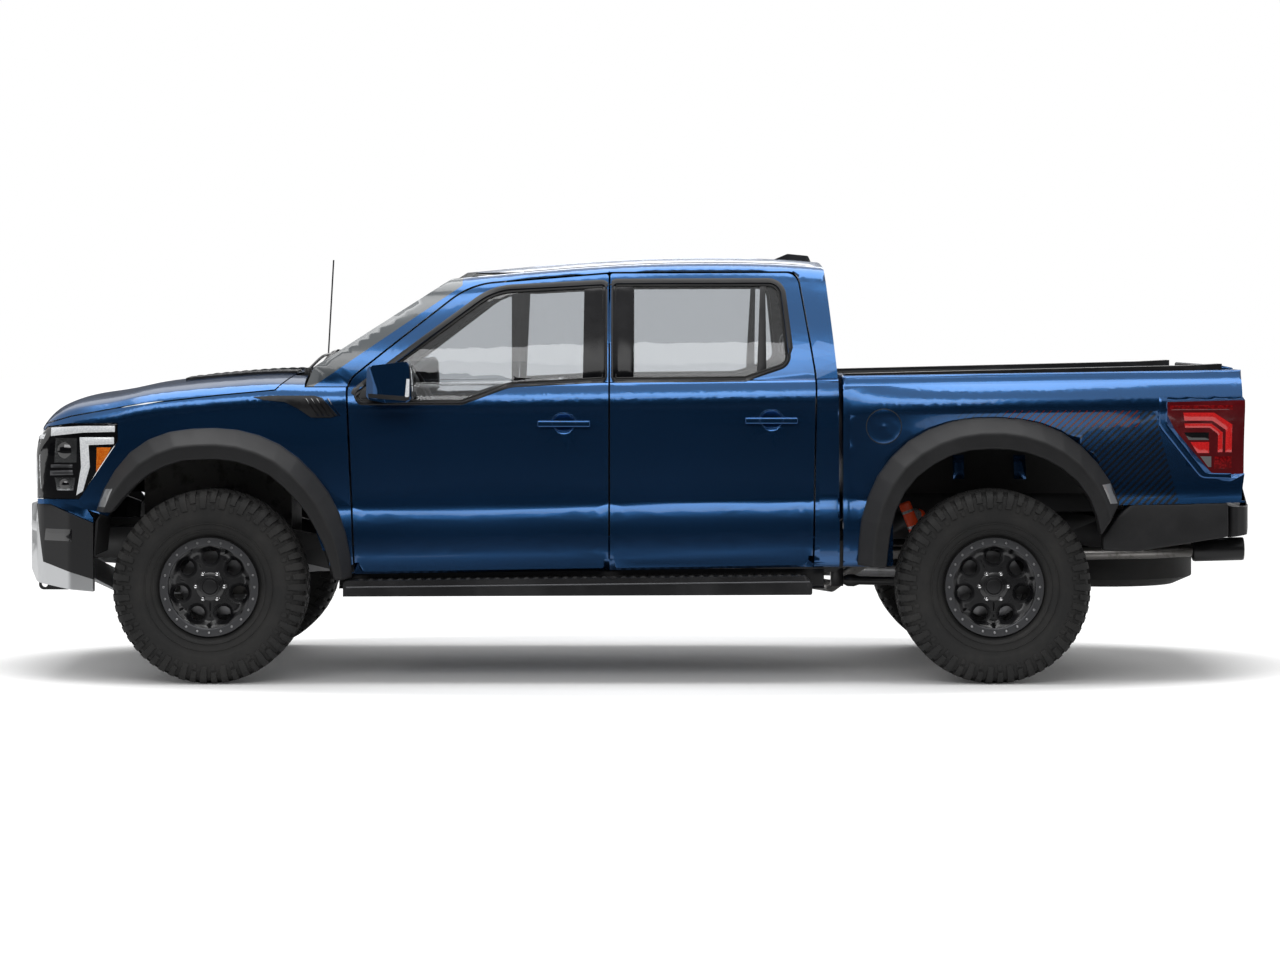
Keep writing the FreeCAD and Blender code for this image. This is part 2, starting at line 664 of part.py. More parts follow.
front_liner = [(-2580, 600), (-2572, 760), (-2490, 900), (-2380, 1010), (-2230, 1072), (-2030, 1090),
               (-1850, 1065), (-1710, 985), (-1600, 850), (-1515, 690), (-1462, 510)]
# Arch lines, as distances from the wheel centre along X and heights
front_flare_outer = [(-539, 812), (-503, 917), (-467, 984), (-395, 1079), (-305, 1146), (-197, 1187),
                     (-62, 1206), (72, 1206), (190, 1187), (297, 1146), (387, 1092), (477, 1007),
                     (549, 917), (603, 818), (639, 719), (661, 620), (669, 492)]
front_flare_inner = [(-456, 809), (-368, 917), (-260, 1007), (-134, 1052), (27, 1061), (162, 1043),
                     (279, 989), (387, 899), (477, 782), (540, 656), (576, 548), (590, 492)]
rear_flare_outer = [(-643, 557), (-636, 674), (-624, 782), (-595, 872), (-559, 962), (-505, 1043),
                    (-433, 1124), (-343, 1182), (-244, 1227), (-136, 1257), (-29, 1266), (61, 1264),
                    (151, 1250), (241, 1223), (331, 1182), (403, 1133), (475, 1061), (538, 980),
                    (574, 908), (596, 850)]
rear_flare_inner = [(-510, 548), (-494, 710), (-460, 836), (-406, 935), (-334, 1007), (-227, 1070),
                    (-118, 1101), (-10, 1108), (97, 1104), (196, 1079), (286, 1038), (367, 980),
                    (430, 908), (466, 836), (488, 764), (498, 700)]


def mirror_shape(shape):
    return shape.mirror(Vector(0, 0, 0), Vector(0, 1, 0))


def pair(shape):
    return Part.makeCompound([shape, mirror_shape(shape)])


# Bumpers, steps and trim
front_x = -2954
bumper_plan = [(front_x, -300, 200), (-2935, -640, 150), (-2860, -860, 120), (-2700, -975, 60), (-2588, -985),
               (-2588, -925), (-2690, -905, 40), (-2790, -800, 80), (-2840, -600, 80), (-2852, 0)]


def front_bumper():
    """Bar bowed in plan, its face leaning back below and its ends swept to the arches."""
    half = bumper_plan[:-1]
    ring = [(front_x, 300, 200), (-2935, 640, 150), (-2860, 860, 120), (-2700, 975, 60), (-2588, 985),
            (-2588, 925), (-2690, 905, 40), (-2790, 800, 80), (-2840, 600, 80)]
    plan = top_prism(half + ring[::-1], 380, 900)
    side = [(front_x, 760), (front_x + 20, 520, 20), (-2888, 468, 20), (-2700, 440), (-2586, 430), (-2586, 752),
            (-2800, 838), (-2930, 838, 20)]
    bar_shape = plan.common(prism(side, -far, far))
    for y0, y1, z0, z1, back in ((-330, 330, 560, 690, -2900), (-780, -660, 640, 705, -2868), (660, 780, 640, 705, -2868)):
        bar_shape = bar_shape.cut(Part.makeBox(back + 2960, y1 - y0, z1 - z0, Vector(-2960, y0, z0)))
    return bar_shape


def rear_bumper():
    """Step bumper with wrapped ends."""
    ring = [(2945, 0), (2938, -420, 100), (2922, -700, 80), (2880, -930, 60), (2790, -990, 30), (2790, -900, 20),
            (2815, -860, 40), (2815, 860, 40), (2790, 900, 20), (2790, 990, 30), (2880, 930, 60),
            (2922, 700, 80), (2938, 420, 100)]
    plan = top_prism(ring, 600, 900)
    side = [(2700, 826), (2950, 830, 10), (2950, 745, 15), (2900, 700, 20), (2770, 682), (2700, 682)]
    return plan.common(prism(side, -far, far))


def rear_cladding():
    """Black corner panel between the rear flare and the bumper, under the bedside."""
    def below_bed(x):
        return 838 + (x - 2230) * 18 / 770 - gap

    area = [(2262, 790), (2320, below_bed(2320)), (2783, below_bed(2783)), (2783, 690), (2345, 618), (2190, 625),
            (2190, 690)]
    return bed_form().common(prism(area, -far, -900))


def running_board():
    """Step along the sill on its brackets."""
    step = prism([(-1400, 412), (-1400, 486, 15), (780, 508, 15), (812, 476), (812, 420, 10)], -1060, -905)
    for x in (-900, -300, 500):
        step = step.fuse(Part.makeBox(50, 510, 30, Vector(x, -920, 490 - gap - 30)))
    return step.removeSplitter()


# Interior
def seat(y, half):
    """Front seat: cushion, leaning back and headrest, one padded solid."""
    cushion = prism([(-860, 830, 40), (-850, 950, 50), (-380, 905), (-330, 800, 30)], y - half, y + half)
    back = prism([(-400, 820, 30), (-340, 960), (-235, 1520, 60), (-130, 1520, 40), (-215, 900), (-260, 800, 30)],
                 y - half + 10, y + half - 10)
    rest = prism([(-255, 1545, 30), (-245, 1720, 40), (-140, 1720, 40), (-135, 1545, 20)], y - 120, y + 120)
    post = Part.makeBox(30, 120, 60, Vector(-205, y - 60, 1500))
    base = Part.makeBox(430, 380, 120 - gap, Vector(-800, y - 190, 690 + gap))
    return cushion.fuse([back, rest, post, base]).removeSplitter()


def bench():
    """Rear bench across the cab."""
    cushion = prism([(160, 860, 40), (170, 980, 50), (620, 950), (640, 860)], -700, 700)
    cushion = cushion.fuse(Part.makeBox(400, 1300, 180 - gap, Vector(230, -650, 690 + gap)))
    back = prism([(560, 900), (600, 990), (700, 1530, 50), (790, 1530, 40), (760, 900)], -700, 700)
    parts = [back]
    for y in (-480, 0, 480):
        parts.append(prism([(695, 1500), (705, 1640, 30), (780, 1640, 30), (785, 1500)], y - 110, y + 110))
    return cushion.fuse(parts).removeSplitter()


def dashboard():
    """Instrument panel across the cab with the steering column's shroud and the centre console."""
    panel = prism([(-1515, 1000), (-1515, 1340), (-1440, 1400, 20), (-1180, 1378, 40), (-1110, 1300, 40),
                   (-1130, 1120, 40), (-1240, 1000, 30)], -795, 795)
    console = prism([(-1180, 690 + gap), (-1180, 1090), (-560, 960, 40), (-420, 960, 40), (-420, 690 + gap)],
                    -150, 150)
    column = bar((-1250, -410, 1225), (-1085, -410, 1318), 45)
    return panel.fuse([console, column]).removeSplitter()


def steering_wheel():
    """Rim, hub and three spokes square to the column."""
    centre = Vector(-1040, -410, 1343)
    lean = Vector(165, 0, 93).normalize()
    rim = Part.makeTorus(185, 15, centre, lean)
    hub = Part.makeCylinder(55, 45, centre - lean * 25, lean)
    shaft = Part.makeCylinder(20, 43, centre - lean * 51.25, lean)
    across = Vector(0, 1, 0)
    down = lean.cross(across)
    shape = rim.fuse([hub, shaft])
    for turn in (0, 180, 270 if down.z < 0 else 90):
        way = across * math.cos(math.radians(turn)) + down * math.sin(math.radians(turn))
        shape = shape.fuse(Part.makeCylinder(11, 150, centre + way * 35, way))
    return shape.removeSplitter()


def door_mirror():
    """Housing on an arm from the door's front corner."""
    housing = prism([(-1280, 1345, 30), (-1275, 1500, 30), (-1080, 1522, 20), (-1066, 1330, 30), (-1190, 1328, 30)],
                    -1219, -1035)
    arm = prism([(-1290, 1345, 15), (-1290, 1400, 15), (-1200, 1425, 15), (-1200, 1350, 15)], -1060, -900)
    arm = arm.cut(cab_tube(glass_depth - gap))
    return housing.cut(cab_outer).fuse(arm).removeSplitter()


# Chassis
rail_y = size("rail_y")
rail_half = size("rail_width") / 2
front_axle_x = size("front_axle_x")
track_half = size("tread_width") / 2
kingpin_y = size("kingpin_y")
rail_inner = rail_y - rail_half
rail_outer = rail_y + rail_half
bumper_back = -2840


arm_pivots = (-2110, -1850)


def frame_rail():
    """Boxed rail: stepped up over each axle."""
    tall = size("rail_height")
    low = [(bumper_back + gap, 560), (-1750, 560), (-1450, 490), (950, 490), (1180, 650), (2000, 650), (2250, 600),
           (2700, 600)]
    high = [(x, z + tall) for x, z in low]
    return pad("FrameRail", "side", low + high[::-1], rail_inner, rail_outer)


def ladder_frame():
    """Two rails with crossmembers, body mounts, brackets and the tow receiver."""
    rail = frame_rail()
    parts = [rail, mirrored(rail)]
    for x0, x1, z0, z1 in ((bumper_back + gap, -2760, 560, 710), (-2300, -2200, 520, 560 - gap), (-1130, -1060, 425, 460 - gap),
                           (-310, -250, 575, 635), (1050, 1110, 640, 710), (1960, 2020, 670, 780), (2250, 2330, 640, 700), (2620, 2700, 600, 740)):
        parts.append(block(x0, x1, "-Sizes.rail_y", "Sizes.rail_y", z0, z1))
    parts += [block(-1130, -1060, 366, 440, 425, 500), block(-1130, -1060, -440, -366, 425, 500)]
    for x in (-1200, -300, 700):
        parts += [rod(45, 15 - gap, x, side * rail_y, 640, "z") for side in (1, -1)]
    for x in (1120, 1700, 2400):
        top = 800 if x < 2000 else 744
        parts += [rod(40, f"Sizes.bed_floor_z - 25 - Sizes.seat_gap - {top - 20}", x, side * rail_y, top - 20, "z")
                  for side in (1, -1)]
    arms = []
    for side in (1, -1):
        for x in arm_pivots:
            arms.append(solid(Part.makeBox(50, 60, 175, Vector(x - 25, side * 440 - 30, 400)), "ArmBracket"))
        arms.append(solid(Part.makeBox(110, 130, 30, Vector(-2085, side * 545 - 65, 872)), "TowerCap"))
        arms.append(solid(Part.makeBox(60, 60, 250, Vector(-2060, side * 490 - 30, 640)), "Tower"))
        arms.append(solid(Part.makeBox(60, 60, 110, Vector(930, side * rail_y - 30, 420)), "LinkBracket"))
        arms.append(solid(Part.makeBox(60, 90, 60, Vector(1300, side * 515 - 45, 730)), "ShockBracket"))
        arms.append(solid(Part.makeBox(125 - gap, 60, 50, Vector(2690, side * rail_y - 30, 695)), "BumperBracket"))
    return join(parts + arms, "ladder_frame")


def tow_receiver():
    """Square socket on a hanger behind the last crossmember, cross-bored for its pin."""
    hanger = block("2700 + Sizes.seat_gap", 2790, -60, 60, 610, 690)
    outside = join([block(2752, 2954, -32, 32, 560, 624), hanger], "ReceiverOutside")
    socket = minus(outside, block(2768, 2960, -25.4, 25.4, 566.6, 617.4), "ReceiverSocket")
    return minus(socket, rod(8, 200, 2900, -100, 592), "tow_receiver")


def front_suspension(side):
    """Upper and lower arms of one front wheel with pads at the steering axis."""
    y = side * kingpin_y
    lower = Vector(front_axle_x, y, 327)
    upper = Vector(front_axle_x, y, 602)
    shape = Part.makeCylinder(28, 24, lower - Vector(0, 0, 12))
    for x in arm_pivots:
        shape = shape.fuse(bar((x, side * (470 + 34 + gap), 430), lower - Vector(0, 0, 14), 14))
        shape = shape.fuse(Part.makeCylinder(34, 60, Vector(x - 30, side * (470 + 34 + gap), 430), Vector(1, 0, 0)))
    shape = shape.fuse(Part.makeCylinder(60, 26, Vector(front_axle_x, side * 650, 372)))
    second = Part.makeCylinder(24, 20, upper - Vector(0, 0, 10))
    for x in (-2160, -1900):
        second = second.fuse(bar((x, side * (rail_outer + 22 + gap), 680), upper + Vector(0, 0, 10), 12))
        second = second.fuse(Part.makeCylinder(22, 50, Vector(x - 25, side * (rail_outer + 22 + gap), 680),
                                               Vector(1, 0, 0)))
    return Part.makeCompound([shape.removeSplitter(), second.removeSplitter()])


def coilover(side):
    """Damper body and spring, drawn as a stack of rings on a tube."""
    low = Vector(front_axle_x, side * 650, 398 + gap)
    high = Vector(front_axle_x, side * 560, 872 - gap)
    run = high - low
    way = Vector(run).normalize()
    fork_top = low + run * 0.28
    shape = bar(fork_top, high - way * 6, 24)
    shape = shape.fuse(bar(fork_top - Vector(44, 0, 0), fork_top + Vector(44, 0, 0), 14))
    for leg in (-34, 34):
        shape = shape.fuse(bar(low + Vector(leg, 0, 12), fork_top + Vector(leg, 0, 0), 8))
        shape = shape.fuse(Part.makeCylinder(9, 14, low + Vector(leg, 0, 0)))
    shape = shape.fuse(Part.makeCylinder(24, 12, high - Vector(0, 0, 12)))
    for index in range(9):
        spot = low + run * (0.36 + 0.068 * index)
        shape = shape.fuse(Part.makeTorus(40, 8, spot, way))
        shape = shape.fuse(Part.makeCylinder(40, 5, spot - way * 2.5, way))
    return shape.removeSplitter()


def knuckle(side):
    """Upright on the steering axis: hub ring, spindle, steering arm and brake caliper."""
    def across(low, high):
        return (side * low if side > 0 else side * high), high - low

    def plate(x0, x1, y0, y1, z0, z1):
        start, width = across(y0, y1)
        return Part.makeBox(x1 - x0, width, z1 - z0, Vector(front_axle_x + x0, start, z0))

    def drum(radius, y0, y1, x=0.0, z=0.0):
        start, width = across(y0, y1)
        return Part.makeCylinder(radius, width, Vector(front_axle_x + x, start, axle_z + z), Vector(0, 1, 0))

    shape = plate(-30, 30, 808, 852, 339 + gap, 592 - gap).fuse([drum(80, 815, 853), plate(-160, -40, 815, 845, 475, 500)])
    shape = shape.fuse(drum(size("spindle_radius"), 850, 925))
    shape = shape.cut(drum(56, 790, 842))
    grip = plate(66, 176, 820, 903, axle_z - 44, axle_z + 44).cut(drum(size("disc_radius") + 6, 854, 892))
    grip = grip.cut(drum(66, 854, 910))
    return shape.fuse(grip).removeSplitter()


def front_drive():
    """Front differential with half shafts out to the joints on the steering axis."""
    shape = Part.makeCylinder(95, 200, Vector(front_axle_x, -100, axle_z), Vector(0, 1, 0))
    shape = shape.fuse(bar((front_axle_x, 60, axle_z), (-1700, 60, 470), 55))
    for side in (1, -1):
        shape = shape.fuse(bar((front_axle_x, side * 90, axle_z), (front_axle_x, side * 800, axle_z), 17))
        shape = shape.fuse(bar((front_axle_x, side * 95, axle_z), (front_axle_x, side * 190, axle_z), 48))
        shape = shape.fuse(Part.makeSphere(33, Vector(front_axle_x, side * (kingpin_y - 32), axle_z)))
    return shape.removeSplitter()


def tie_rods():
    """Rack bar with a rod to each steering arm; it slides across the truck."""
    x = front_axle_x - 150
    shape = bar((x, -720, 455), (x, 720, 455), 13)
    for side in (1, -1):
        shape = shape.fuse(bar((x, side * 700, 455), (x, side * 790, 455), 11))
        shape = shape.fuse(Part.makeCylinder(20, 16, Vector(x, side * 800, 449)))
        shape = shape.fuse(bar((x, side * 430, 455), (x, side * 560, 455), 26))
    return shape.removeSplitter()


def rack_housing():
    """Tube around the rack between the rails with a foot on each."""
    x = front_axle_x - 150
    tube = bar((x, -330, 455), (x, 330, 455), 34).cut(bar((x, -340, 455), (x, 340, 455), 13 + gap))
    for side in (1, -1):
        foot = Part.makeBox(40, 60, 560 - gap - 480, Vector(x - 20, side * 290 - 30, 480))
        arm = Part.makeBox(40, 140 - gap, 22, Vector(x - 20, side * 330 - 70 + (gap if side < 0 else 0), 538 - gap))
        tube = tube.fuse([foot, arm])
    return tube.removeSplitter()


def rear_axle():
    """Live axle: tubes, differential, spindles and brake calipers."""
    x = rear_axle_x
    shape = bar((x, -852, axle_z), (x, 852, axle_z), 44)
    shape = shape.fuse(Part.makeSphere(150, Vector(x, 0, axle_z)))
    shape = shape.fuse(bar((x - 250, 0, axle_z + 12), (x, 0, axle_z + 12), 60))
    for side in (1, -1):
        low = min(side * 850, side * 925)
        shape = shape.fuse(Part.makeCylinder(size("spindle_radius"), 75, Vector(x, low, axle_z), Vector(0, 1, 0)))
        low = min(side * 830, side * 853)
        shape = shape.fuse(Part.makeCylinder(80, 23, Vector(x, low, axle_z), Vector(0, 1, 0)))
        low = min(side * 820, side * 903)
        grip = Part.makeBox(116, 83, 88, Vector(x + 60, low, axle_z - 44))
        for radius, near_y, far_y in ((size("disc_radius") + 6, 854, 892), (66, 854, 910)):
            start = min(side * near_y, side * far_y)
            grip = grip.cut(Part.makeCylinder(radius, far_y - near_y, Vector(x, start, axle_z), Vector(0, 1, 0)))
        shape = shape.fuse(grip)
        shape = shape.fuse(Part.makeBox(120, 60, 30, Vector(x - 60, side * rail_y - 30, axle_z + 30)))
        shape = shape.fuse(Part.makeBox(50, 60, 90, Vector(x - 60, side * 600 - 30, 380)))
    return shape.removeSplitter()


def rear_springs():
    """Coils between the axle's seats and the rails, and the long dampers ahead of them."""
    made = []
    for side in (1, -1):
        low = axle_z + 60 + gap
        high = 650 - gap
        core = Part.makeCylinder(30, high - low, Vector(rear_axle_x, side * rail_y, low))
        for index in range(5):
            z = low + 12 + index * (high - low - 24) / 4
            core = core.fuse(Part.makeTorus(52, 9, Vector(rear_axle_x, side * rail_y, z)))
            core = core.fuse(Part.makeCylinder(52, 6, Vector(rear_axle_x, side * rail_y, z - 3)))
        made.append(core.removeSplitter())
    return Part.makeCompound(made)


def rear_dampers():
    """Damper with its side reservoir, leaning forward from the axle to the frame."""
    made = []
    for side in (1, -1):
        low = (rear_axle_x - 95, side * 602, 430)
        high = (1330, side * 602, 790)
        shape = bar(low, high, 36)
        shape = shape.fuse(Part.makeCylinder(30, 82, Vector(1330, min(side * (560 + gap), side * 642), 775),
                                             Vector(0, 1, 0)))
        shape = shape.fuse(bar((1330, side * 668, 690), (1272, side * 668, 838), 30))
        shape = shape.fuse(bar((1330, side * 602, 775), (1300, side * 668, 775), 18))
        made.append(shape.removeSplitter())
    return Part.makeCompound(made)


def rear_links():
    """Trailing links and the cross bar that hold the axle."""
    made = []
    for side in (1, -1):
        made.append(bar((rear_axle_x - 48, side * 520, 440), (992, side * 455, 448), 22))
    return Part.makeCompound(made)


def prop_shafts():
    rear = bar((-979, 0, 530), (rear_axle_x - 252, 0, axle_z + 14), 44)
    front = bar((-1240, 150, 520), (-1700, 66, 474), 26)
    return Part.makeCompound([rear, front])


def gearbox():
    case = prism([(-1700, 470), (-1700, 640), (-980, 640), (-980, 470)], -130, 130)
    transfer = Part.makeBox(260, 170, 140, Vector(-1240, 100, 460))
    return case.fuse(transfer).removeSplitter()


def exhaust():
    """Down pipe, silencer, and two tail pipes past the spare wheel to the tips."""
    parts = [Part.makeBox(650, 200, 150, Vector(150, 180, 420)), bar((-1650, 320, 500), (160, 320, 500), 30)]
    right = [(790, 300, 500), (1250, 320, 575), (1860, 330, 575), (1960, 560, 580), (2480, 570, 590),
             (2660, 790, 616)]
    cross = [(790, 230, 450), (860, 90, 396), (950, -120, 396), (1100, -330, 530), (1250, -330, 575),
             (1860, -330, 575), (1960, -560, 580), (2480, -570, 590), (2660, -790, 616)]
    parts += [pipe(right, 30), pipe(cross, 30), Part.makeBox(40, rail_inner - gap - 370, 40, Vector(300, 370, 520))]
    shape = parts[0].fuse(parts[1:])
    for side in (1, -1):
        tip = bar((2655, side * 790, 616), (2884, side * 790, 622), 54)
        shape = shape.fuse(tip).cut(bar((2700, side * 790, 617), (2900, side * 790, 622), 48))
    return shape.removeSplitter()


def spare_wheel():
    """Full-size spare lying flat under the bed, hung on its winch rod."""
    x = 2290
    low = 409
    wide = 186
    top = size("tyre_radius")
    middle = low + wide / 2
    line = [(wide / 2 - 20, 225), (wide / 2 - 4, 260), (wide / 2, top - 90), (wide / 2 - 40, top)]
    ring = sector_ring([(line, line)] * (2 * int(size("lug_count"))), [],
                       lambda u, r, turn: Vector(x + r * math.cos(turn), r * math.sin(turn), middle + u))
    barrel = Part.makeCylinder(225 - gap, wide - 40, Vector(x, 0, low + 20))
    barrel = barrel.cut(Part.makeCylinder(205, 90, Vector(x, 0, low)))
    barrel = barrel.cut(Part.makeCylinder(205, 90, Vector(x, 0, low + 108)))
    hanger = Part.makeCylinder(12, 640 - gap - low - 60, Vector(x, 0, low + 60))
    return Part.makeCompound([ring, barrel.fuse(hanger).removeSplitter()])


def recovery_hooks():
    """Plate eyes under the nose of each rail."""
    plate = prism([(-2930, 402, 24), (-2930, 456, 24), (-2838, 456), (-2838, 560 - gap), (-2770, 560 - gap),
                   (-2780, 402, 10)], -452, -428)
    eye = Part.makeCylinder(16, 60, Vector(-2903, -470, 429), Vector(0, 1, 0))
    return pair(plate.cut(eye))


# Wheels
def tyre_sections():
    """Outer line of one half of a tyre, first with a lug and then with a groove at its shoulder, and the hollow's."""
    half = size("tyre_width") / 2
    top = size("tyre_radius")
    bead = size("bead_radius")
    wall = size("tyre_wall")
    low = top - size("lug_height")
    inside = size("rim_width") / 2 - gap
    start = [(inside, bead), (inside, bead + 19), (half - 8, bead + 66), (half, top - 72)]
    lug = start + [(half - 6, top - 22), (half - 34, top), (half - 64, top)]
    groove = start + [(half - 20, low - 12), (half - 64, low), (half - 64, top)]
    hollow = [(inside - 22, bead), (half - 8 - wall, bead + 70), (half - 64, low - wall)]
    return lug, groove, hollow


def sector_ring(sections, hollow, spot):
    """Ring of flat-faced sectors about an axis; each sector has the outer lines of its two halves."""
    count = len(sections)
    reach = 1 / math.cos(math.pi / count)
    shared = 3

    def face(points):
        corners = [spot(u, r * reach, 2 * math.pi * (turn + 0.5) / count) for u, r, turn in points]
        return Part.Face(Part.makePolygon(corners + corners[:1]))

    faces = []
    for index, (right, left) in enumerate(sections):
        line = [(-u, r) for u, r in left] + right[::-1] + hollow + [(-u, r) for u, r in hollow[::-1]]
        for (u0, r0), (u1, r1) in zip(line, line[1:] + line[:1]):
            faces.append(face([(u0, r0, index), (u1, r1, index), (u1, r1, index + 1), (u0, r0, index + 1)]))
        after = sections[(index + 1) % count]
        for way, mine, other in ((1, right, after[0]), (-1, left, after[1])):
            if mine != other:
                faces.append(face([(way * u, r, index + 1) for u, r in mine[shared:] + other[-2:shared:-1]]))
    shell = Part.makeShell(faces)
    shell.sewShape()
    ring = Part.makeSolid(shell)
    if ring.Volume < 0:
        ring.reverse()
    return ring


def tyre(label, x, side):
    """Carcass and tread in sectors, a lug at one shoulder and a groove at the other by turns."""
    lug, groove, hollow = tyre_sections()
    sections = [(lug, groove), (groove, lug)] * int(size("lug_count"))
    ring = sector_ring(sections, hollow, lambda u, r, turn: Vector(r * math.cos(turn), u, r * math.sin(turn)))
    body = solid(ring, label)
    place_wheel(body, x, side)
    return body


def place_wheel(body, x, side):
    """Built with its face outwards along +Y at the origin, then carried to its axle."""
    spin = FreeCAD.Rotation(Vector(0, 0, 1), 0 if side > 0 else 180)
    body.Placement = FreeCAD.Placement(Vector(0, 0, 0), spin)
    bind(body, _at_x=x, _at_y=f"{side} * Sizes.tread_width / 2", _at_z="Sizes.tyre_radius")


def studs(body, planes, name, start, high, kind):
    """Round heads in a circle, standing out from the wheel's face."""
    sketch = body.newObject("Sketcher::SketchObject", name + "Circle")
    sketch.AttachmentSupport = [(planes["XZ_Plane"], "")]
    sketch.MapMode = "FlatFace"
    sketch.AttachmentOffset = FreeCAD.Placement(Vector(0, 0, -start), FreeCAD.Rotation())
    count = int(size(kind + "_count"))
    for index in range(count):
        angle = 2 * math.pi * index / count
        centre = Vector(math.cos(angle), math.sin(angle), 0) * size(kind + "_circle")
        sketch.addGeometry(Part.Circle(centre, Vector(0, 0, 1), size(kind + "_radius")), False)
    pad = body.newObject("PartDesign::Pad", name)
    pad.Profile = sketch
    pad.Length = high
    pad.Reversed = True


def rim(label, x, side):
    """Wheel and brake disc on one hub: barrel, clamp ring, dished face with round openings."""
    body = doc.addObject("PartDesign::Body", label)
    planes = {item.Role: item for item in body.Origin.OriginFeatures}
    sketch = body.newObject("Sketcher::SketchObject", "Profile")
    sketch.AttachmentSupport = [(planes["YZ_Plane"], "")]
    sketch.MapMode = "FlatFace"
    half = size("rim_width") / 2
    edge = size("flange_radius")
    seat_r = size("bead_radius") - gap
    lip = size("flange_thick")
    wall = size("rim_wall")
    bore = size("spindle_radius") + gap
    hub = size("hub_radius")
    disc = size("disc_radius")
    disc_in = -size("disc_offset") - size("disc_thick") / 2
    disc_out = -size("disc_offset") + size("disc_thick") / 2
    drop = seat_r - 19
    points = [(-half - lip, edge), (-half, edge), (-half, seat_r), (-66, seat_r), (-56, drop), (30, drop),
              (42, seat_r), (half, seat_r), (half, edge), (half + 18, edge), (half + 22, edge - 4),
              (half + 22, edge - 39), (half + 10, edge - 45), (84, edge - 60), (80, edge - 68), (80, hub + 6),
              (90, hub), (90, 40), (98, 34), (98, 0), (-8, 0), (-8, bore), (disc_in, bore), (disc_in, disc),
              (disc_out, disc), (disc_out, hub), (60, hub), (64, edge - 68), (66, edge - 58), (50, drop - wall),
              (-50, drop - wall), (-62, seat_r - wall), (-half - lip, seat_r - wall)]
    for edge_line in outline(points):
        sketch.addGeometry(edge_line, False)
    turn = body.newObject("PartDesign::Revolution", "Barrel")
    turn.Profile = sketch
    turn.ReferenceAxis = (planes["Y_Axis"], [""])
    turn.Angle = 360
    doc.recompute()
    rounds = body.newObject("Sketcher::SketchObject", "Openings")
    rounds.AttachmentSupport = [(planes["XZ_Plane"], "")]
    rounds.MapMode = "FlatFace"
    rounds.AttachmentOffset = FreeCAD.Placement(Vector(0, 0, -100), FreeCAD.Rotation())
    count = int(size("rim_hole_count"))
    for index in range(count):
        angle = math.radians(90 + 360 * index / count)
        centre = Vector(math.cos(angle), math.sin(angle), 0) * size("rim_hole_circle")
        rounds.addGeometry(Part.Circle(centre, Vector(0, 0, 1), size("rim_hole_radius")), False)
    cut = body.newObject("PartDesign::Pocket", "RoundOpenings")
    cut.Profile = rounds
    cut.Length = 45
    cut.Reversed = True
    studs(body, planes, "ClampBolts", half + 22, 5, "bolt")
    studs(body, planes, "WheelNuts", 80, 22, "nut")
    place_wheel(body, x, side)
    return body


wheels = []
for place, x in (("front", "Sizes.front_axle_x"), ("rear", "Sizes.front_axle_x + Sizes.wheelbase")):
    for name, side in (("left", -1), ("right", 1)):
        wheels.append(tyre(f"tyre_{place}_{name}", x, side))
        wheels.append(rim(f"rim_{place}_{name}", x, side))

# Sub-parts
nodes = list(wheels)


def node(label, shape):
    """A finished sub-part from a bare shape."""
    nodes.append(solid(shape, label))


nodes.append(ladder_frame())
nodes.append(tow_receiver())
node("front_arms", Part.makeCompound([front_suspension(-1), front_suspension(1), rack_housing()]))
node("front_coilovers", Part.makeCompound([coilover(-1), coilover(1)]))
node("knuckle_left", knuckle(-1))
node("knuckle_right", knuckle(1))
node("driveline", Part.makeCompound([front_drive(), gearbox(), prop_shafts()]))
node("tie_rods", tie_rods())
node("rear_axle", rear_axle())
node("rear_suspension", Part.makeCompound([rear_springs(), rear_links()]))
node("rear_dampers", rear_dampers())
nodes.append(block(-2440, -1715, -270, 270, "560 + Sizes.seat_gap", 1150))
nodes[-1].Label = "engine_block"
nodes.append(block(-2775, -2735, -400, 400, "710 + Sizes.seat_gap", 1150))
nodes[-1].Label = "radiator"
node("exhaust", exhaust())
node("spare_wheel", spare_wheel())
node("recovery_hooks", recovery_hooks())
nodes.append(block(-180, 860, "-Sizes.rail_y + Sizes.rail_width / 2 + Sizes.seat_gap", -120, 480, "640 - Sizes.seat_gap"))
nodes[-1].Label = "fuel_tank"
node("skid_plate", prism([(-2835, 520), (-2838, 512), (-2560, 384), (-2150, 372), (-2150, 380), (-2557, 392),
                          (-2800, 519), (-2800, 560 - gap), (-2838, 560 - gap)], -370, 370))
node("cab_shell", cab_shell())
node("fixed_glass", Part.makeCompound([windshield(690, size("glass_thick"), gap),
                                       rear_glass(0, size("glass_thick"), gap)]))
node("hood", hood_panel())
valance_side = [(-2866, 842), (-2866, 865), (-2655, 865), (-2590, 775), (-2590, 757), (-2800, 843)]
valance = nose_outer.cut(nose_tube(30)).common(prism(valance_side, -far, -600))
vent_boxes = Part.makeBox(540, 230, 300, Vector(-2200, -560, 1200)).fuse(
    Part.makeBox(540, 230, 300, Vector(-2200, 330, 1200)))
node("hood_vents", nose_tube(-12).cut(nose_tube(-gap)).common(vent_boxes))
wing_vent = [(-1829, 1352), (-1744, 1358), (-1541, 1358), (-1503, 1347), (-1430, 1264), (-1461, 1254), (-1555, 1254),
             (-1617, 1296), (-1681, 1328), (-1782, 1337)]
node("fender_vents", pair(nose_tube(-6).cut(nose_tube(-gap)).common(prism(wing_vent, -far, -800))))
node("front_fenders", Part.makeCompound([fender_pair(), pair(valance)]))
node("cowl_panel", cowl_panel())
node("arch_liners", pair(liner(front_liner, 545, 985, 6).common(nose_tube(size("fender_wall") + gap))))
behind_cab = bed_form().fuse(cab_outer)
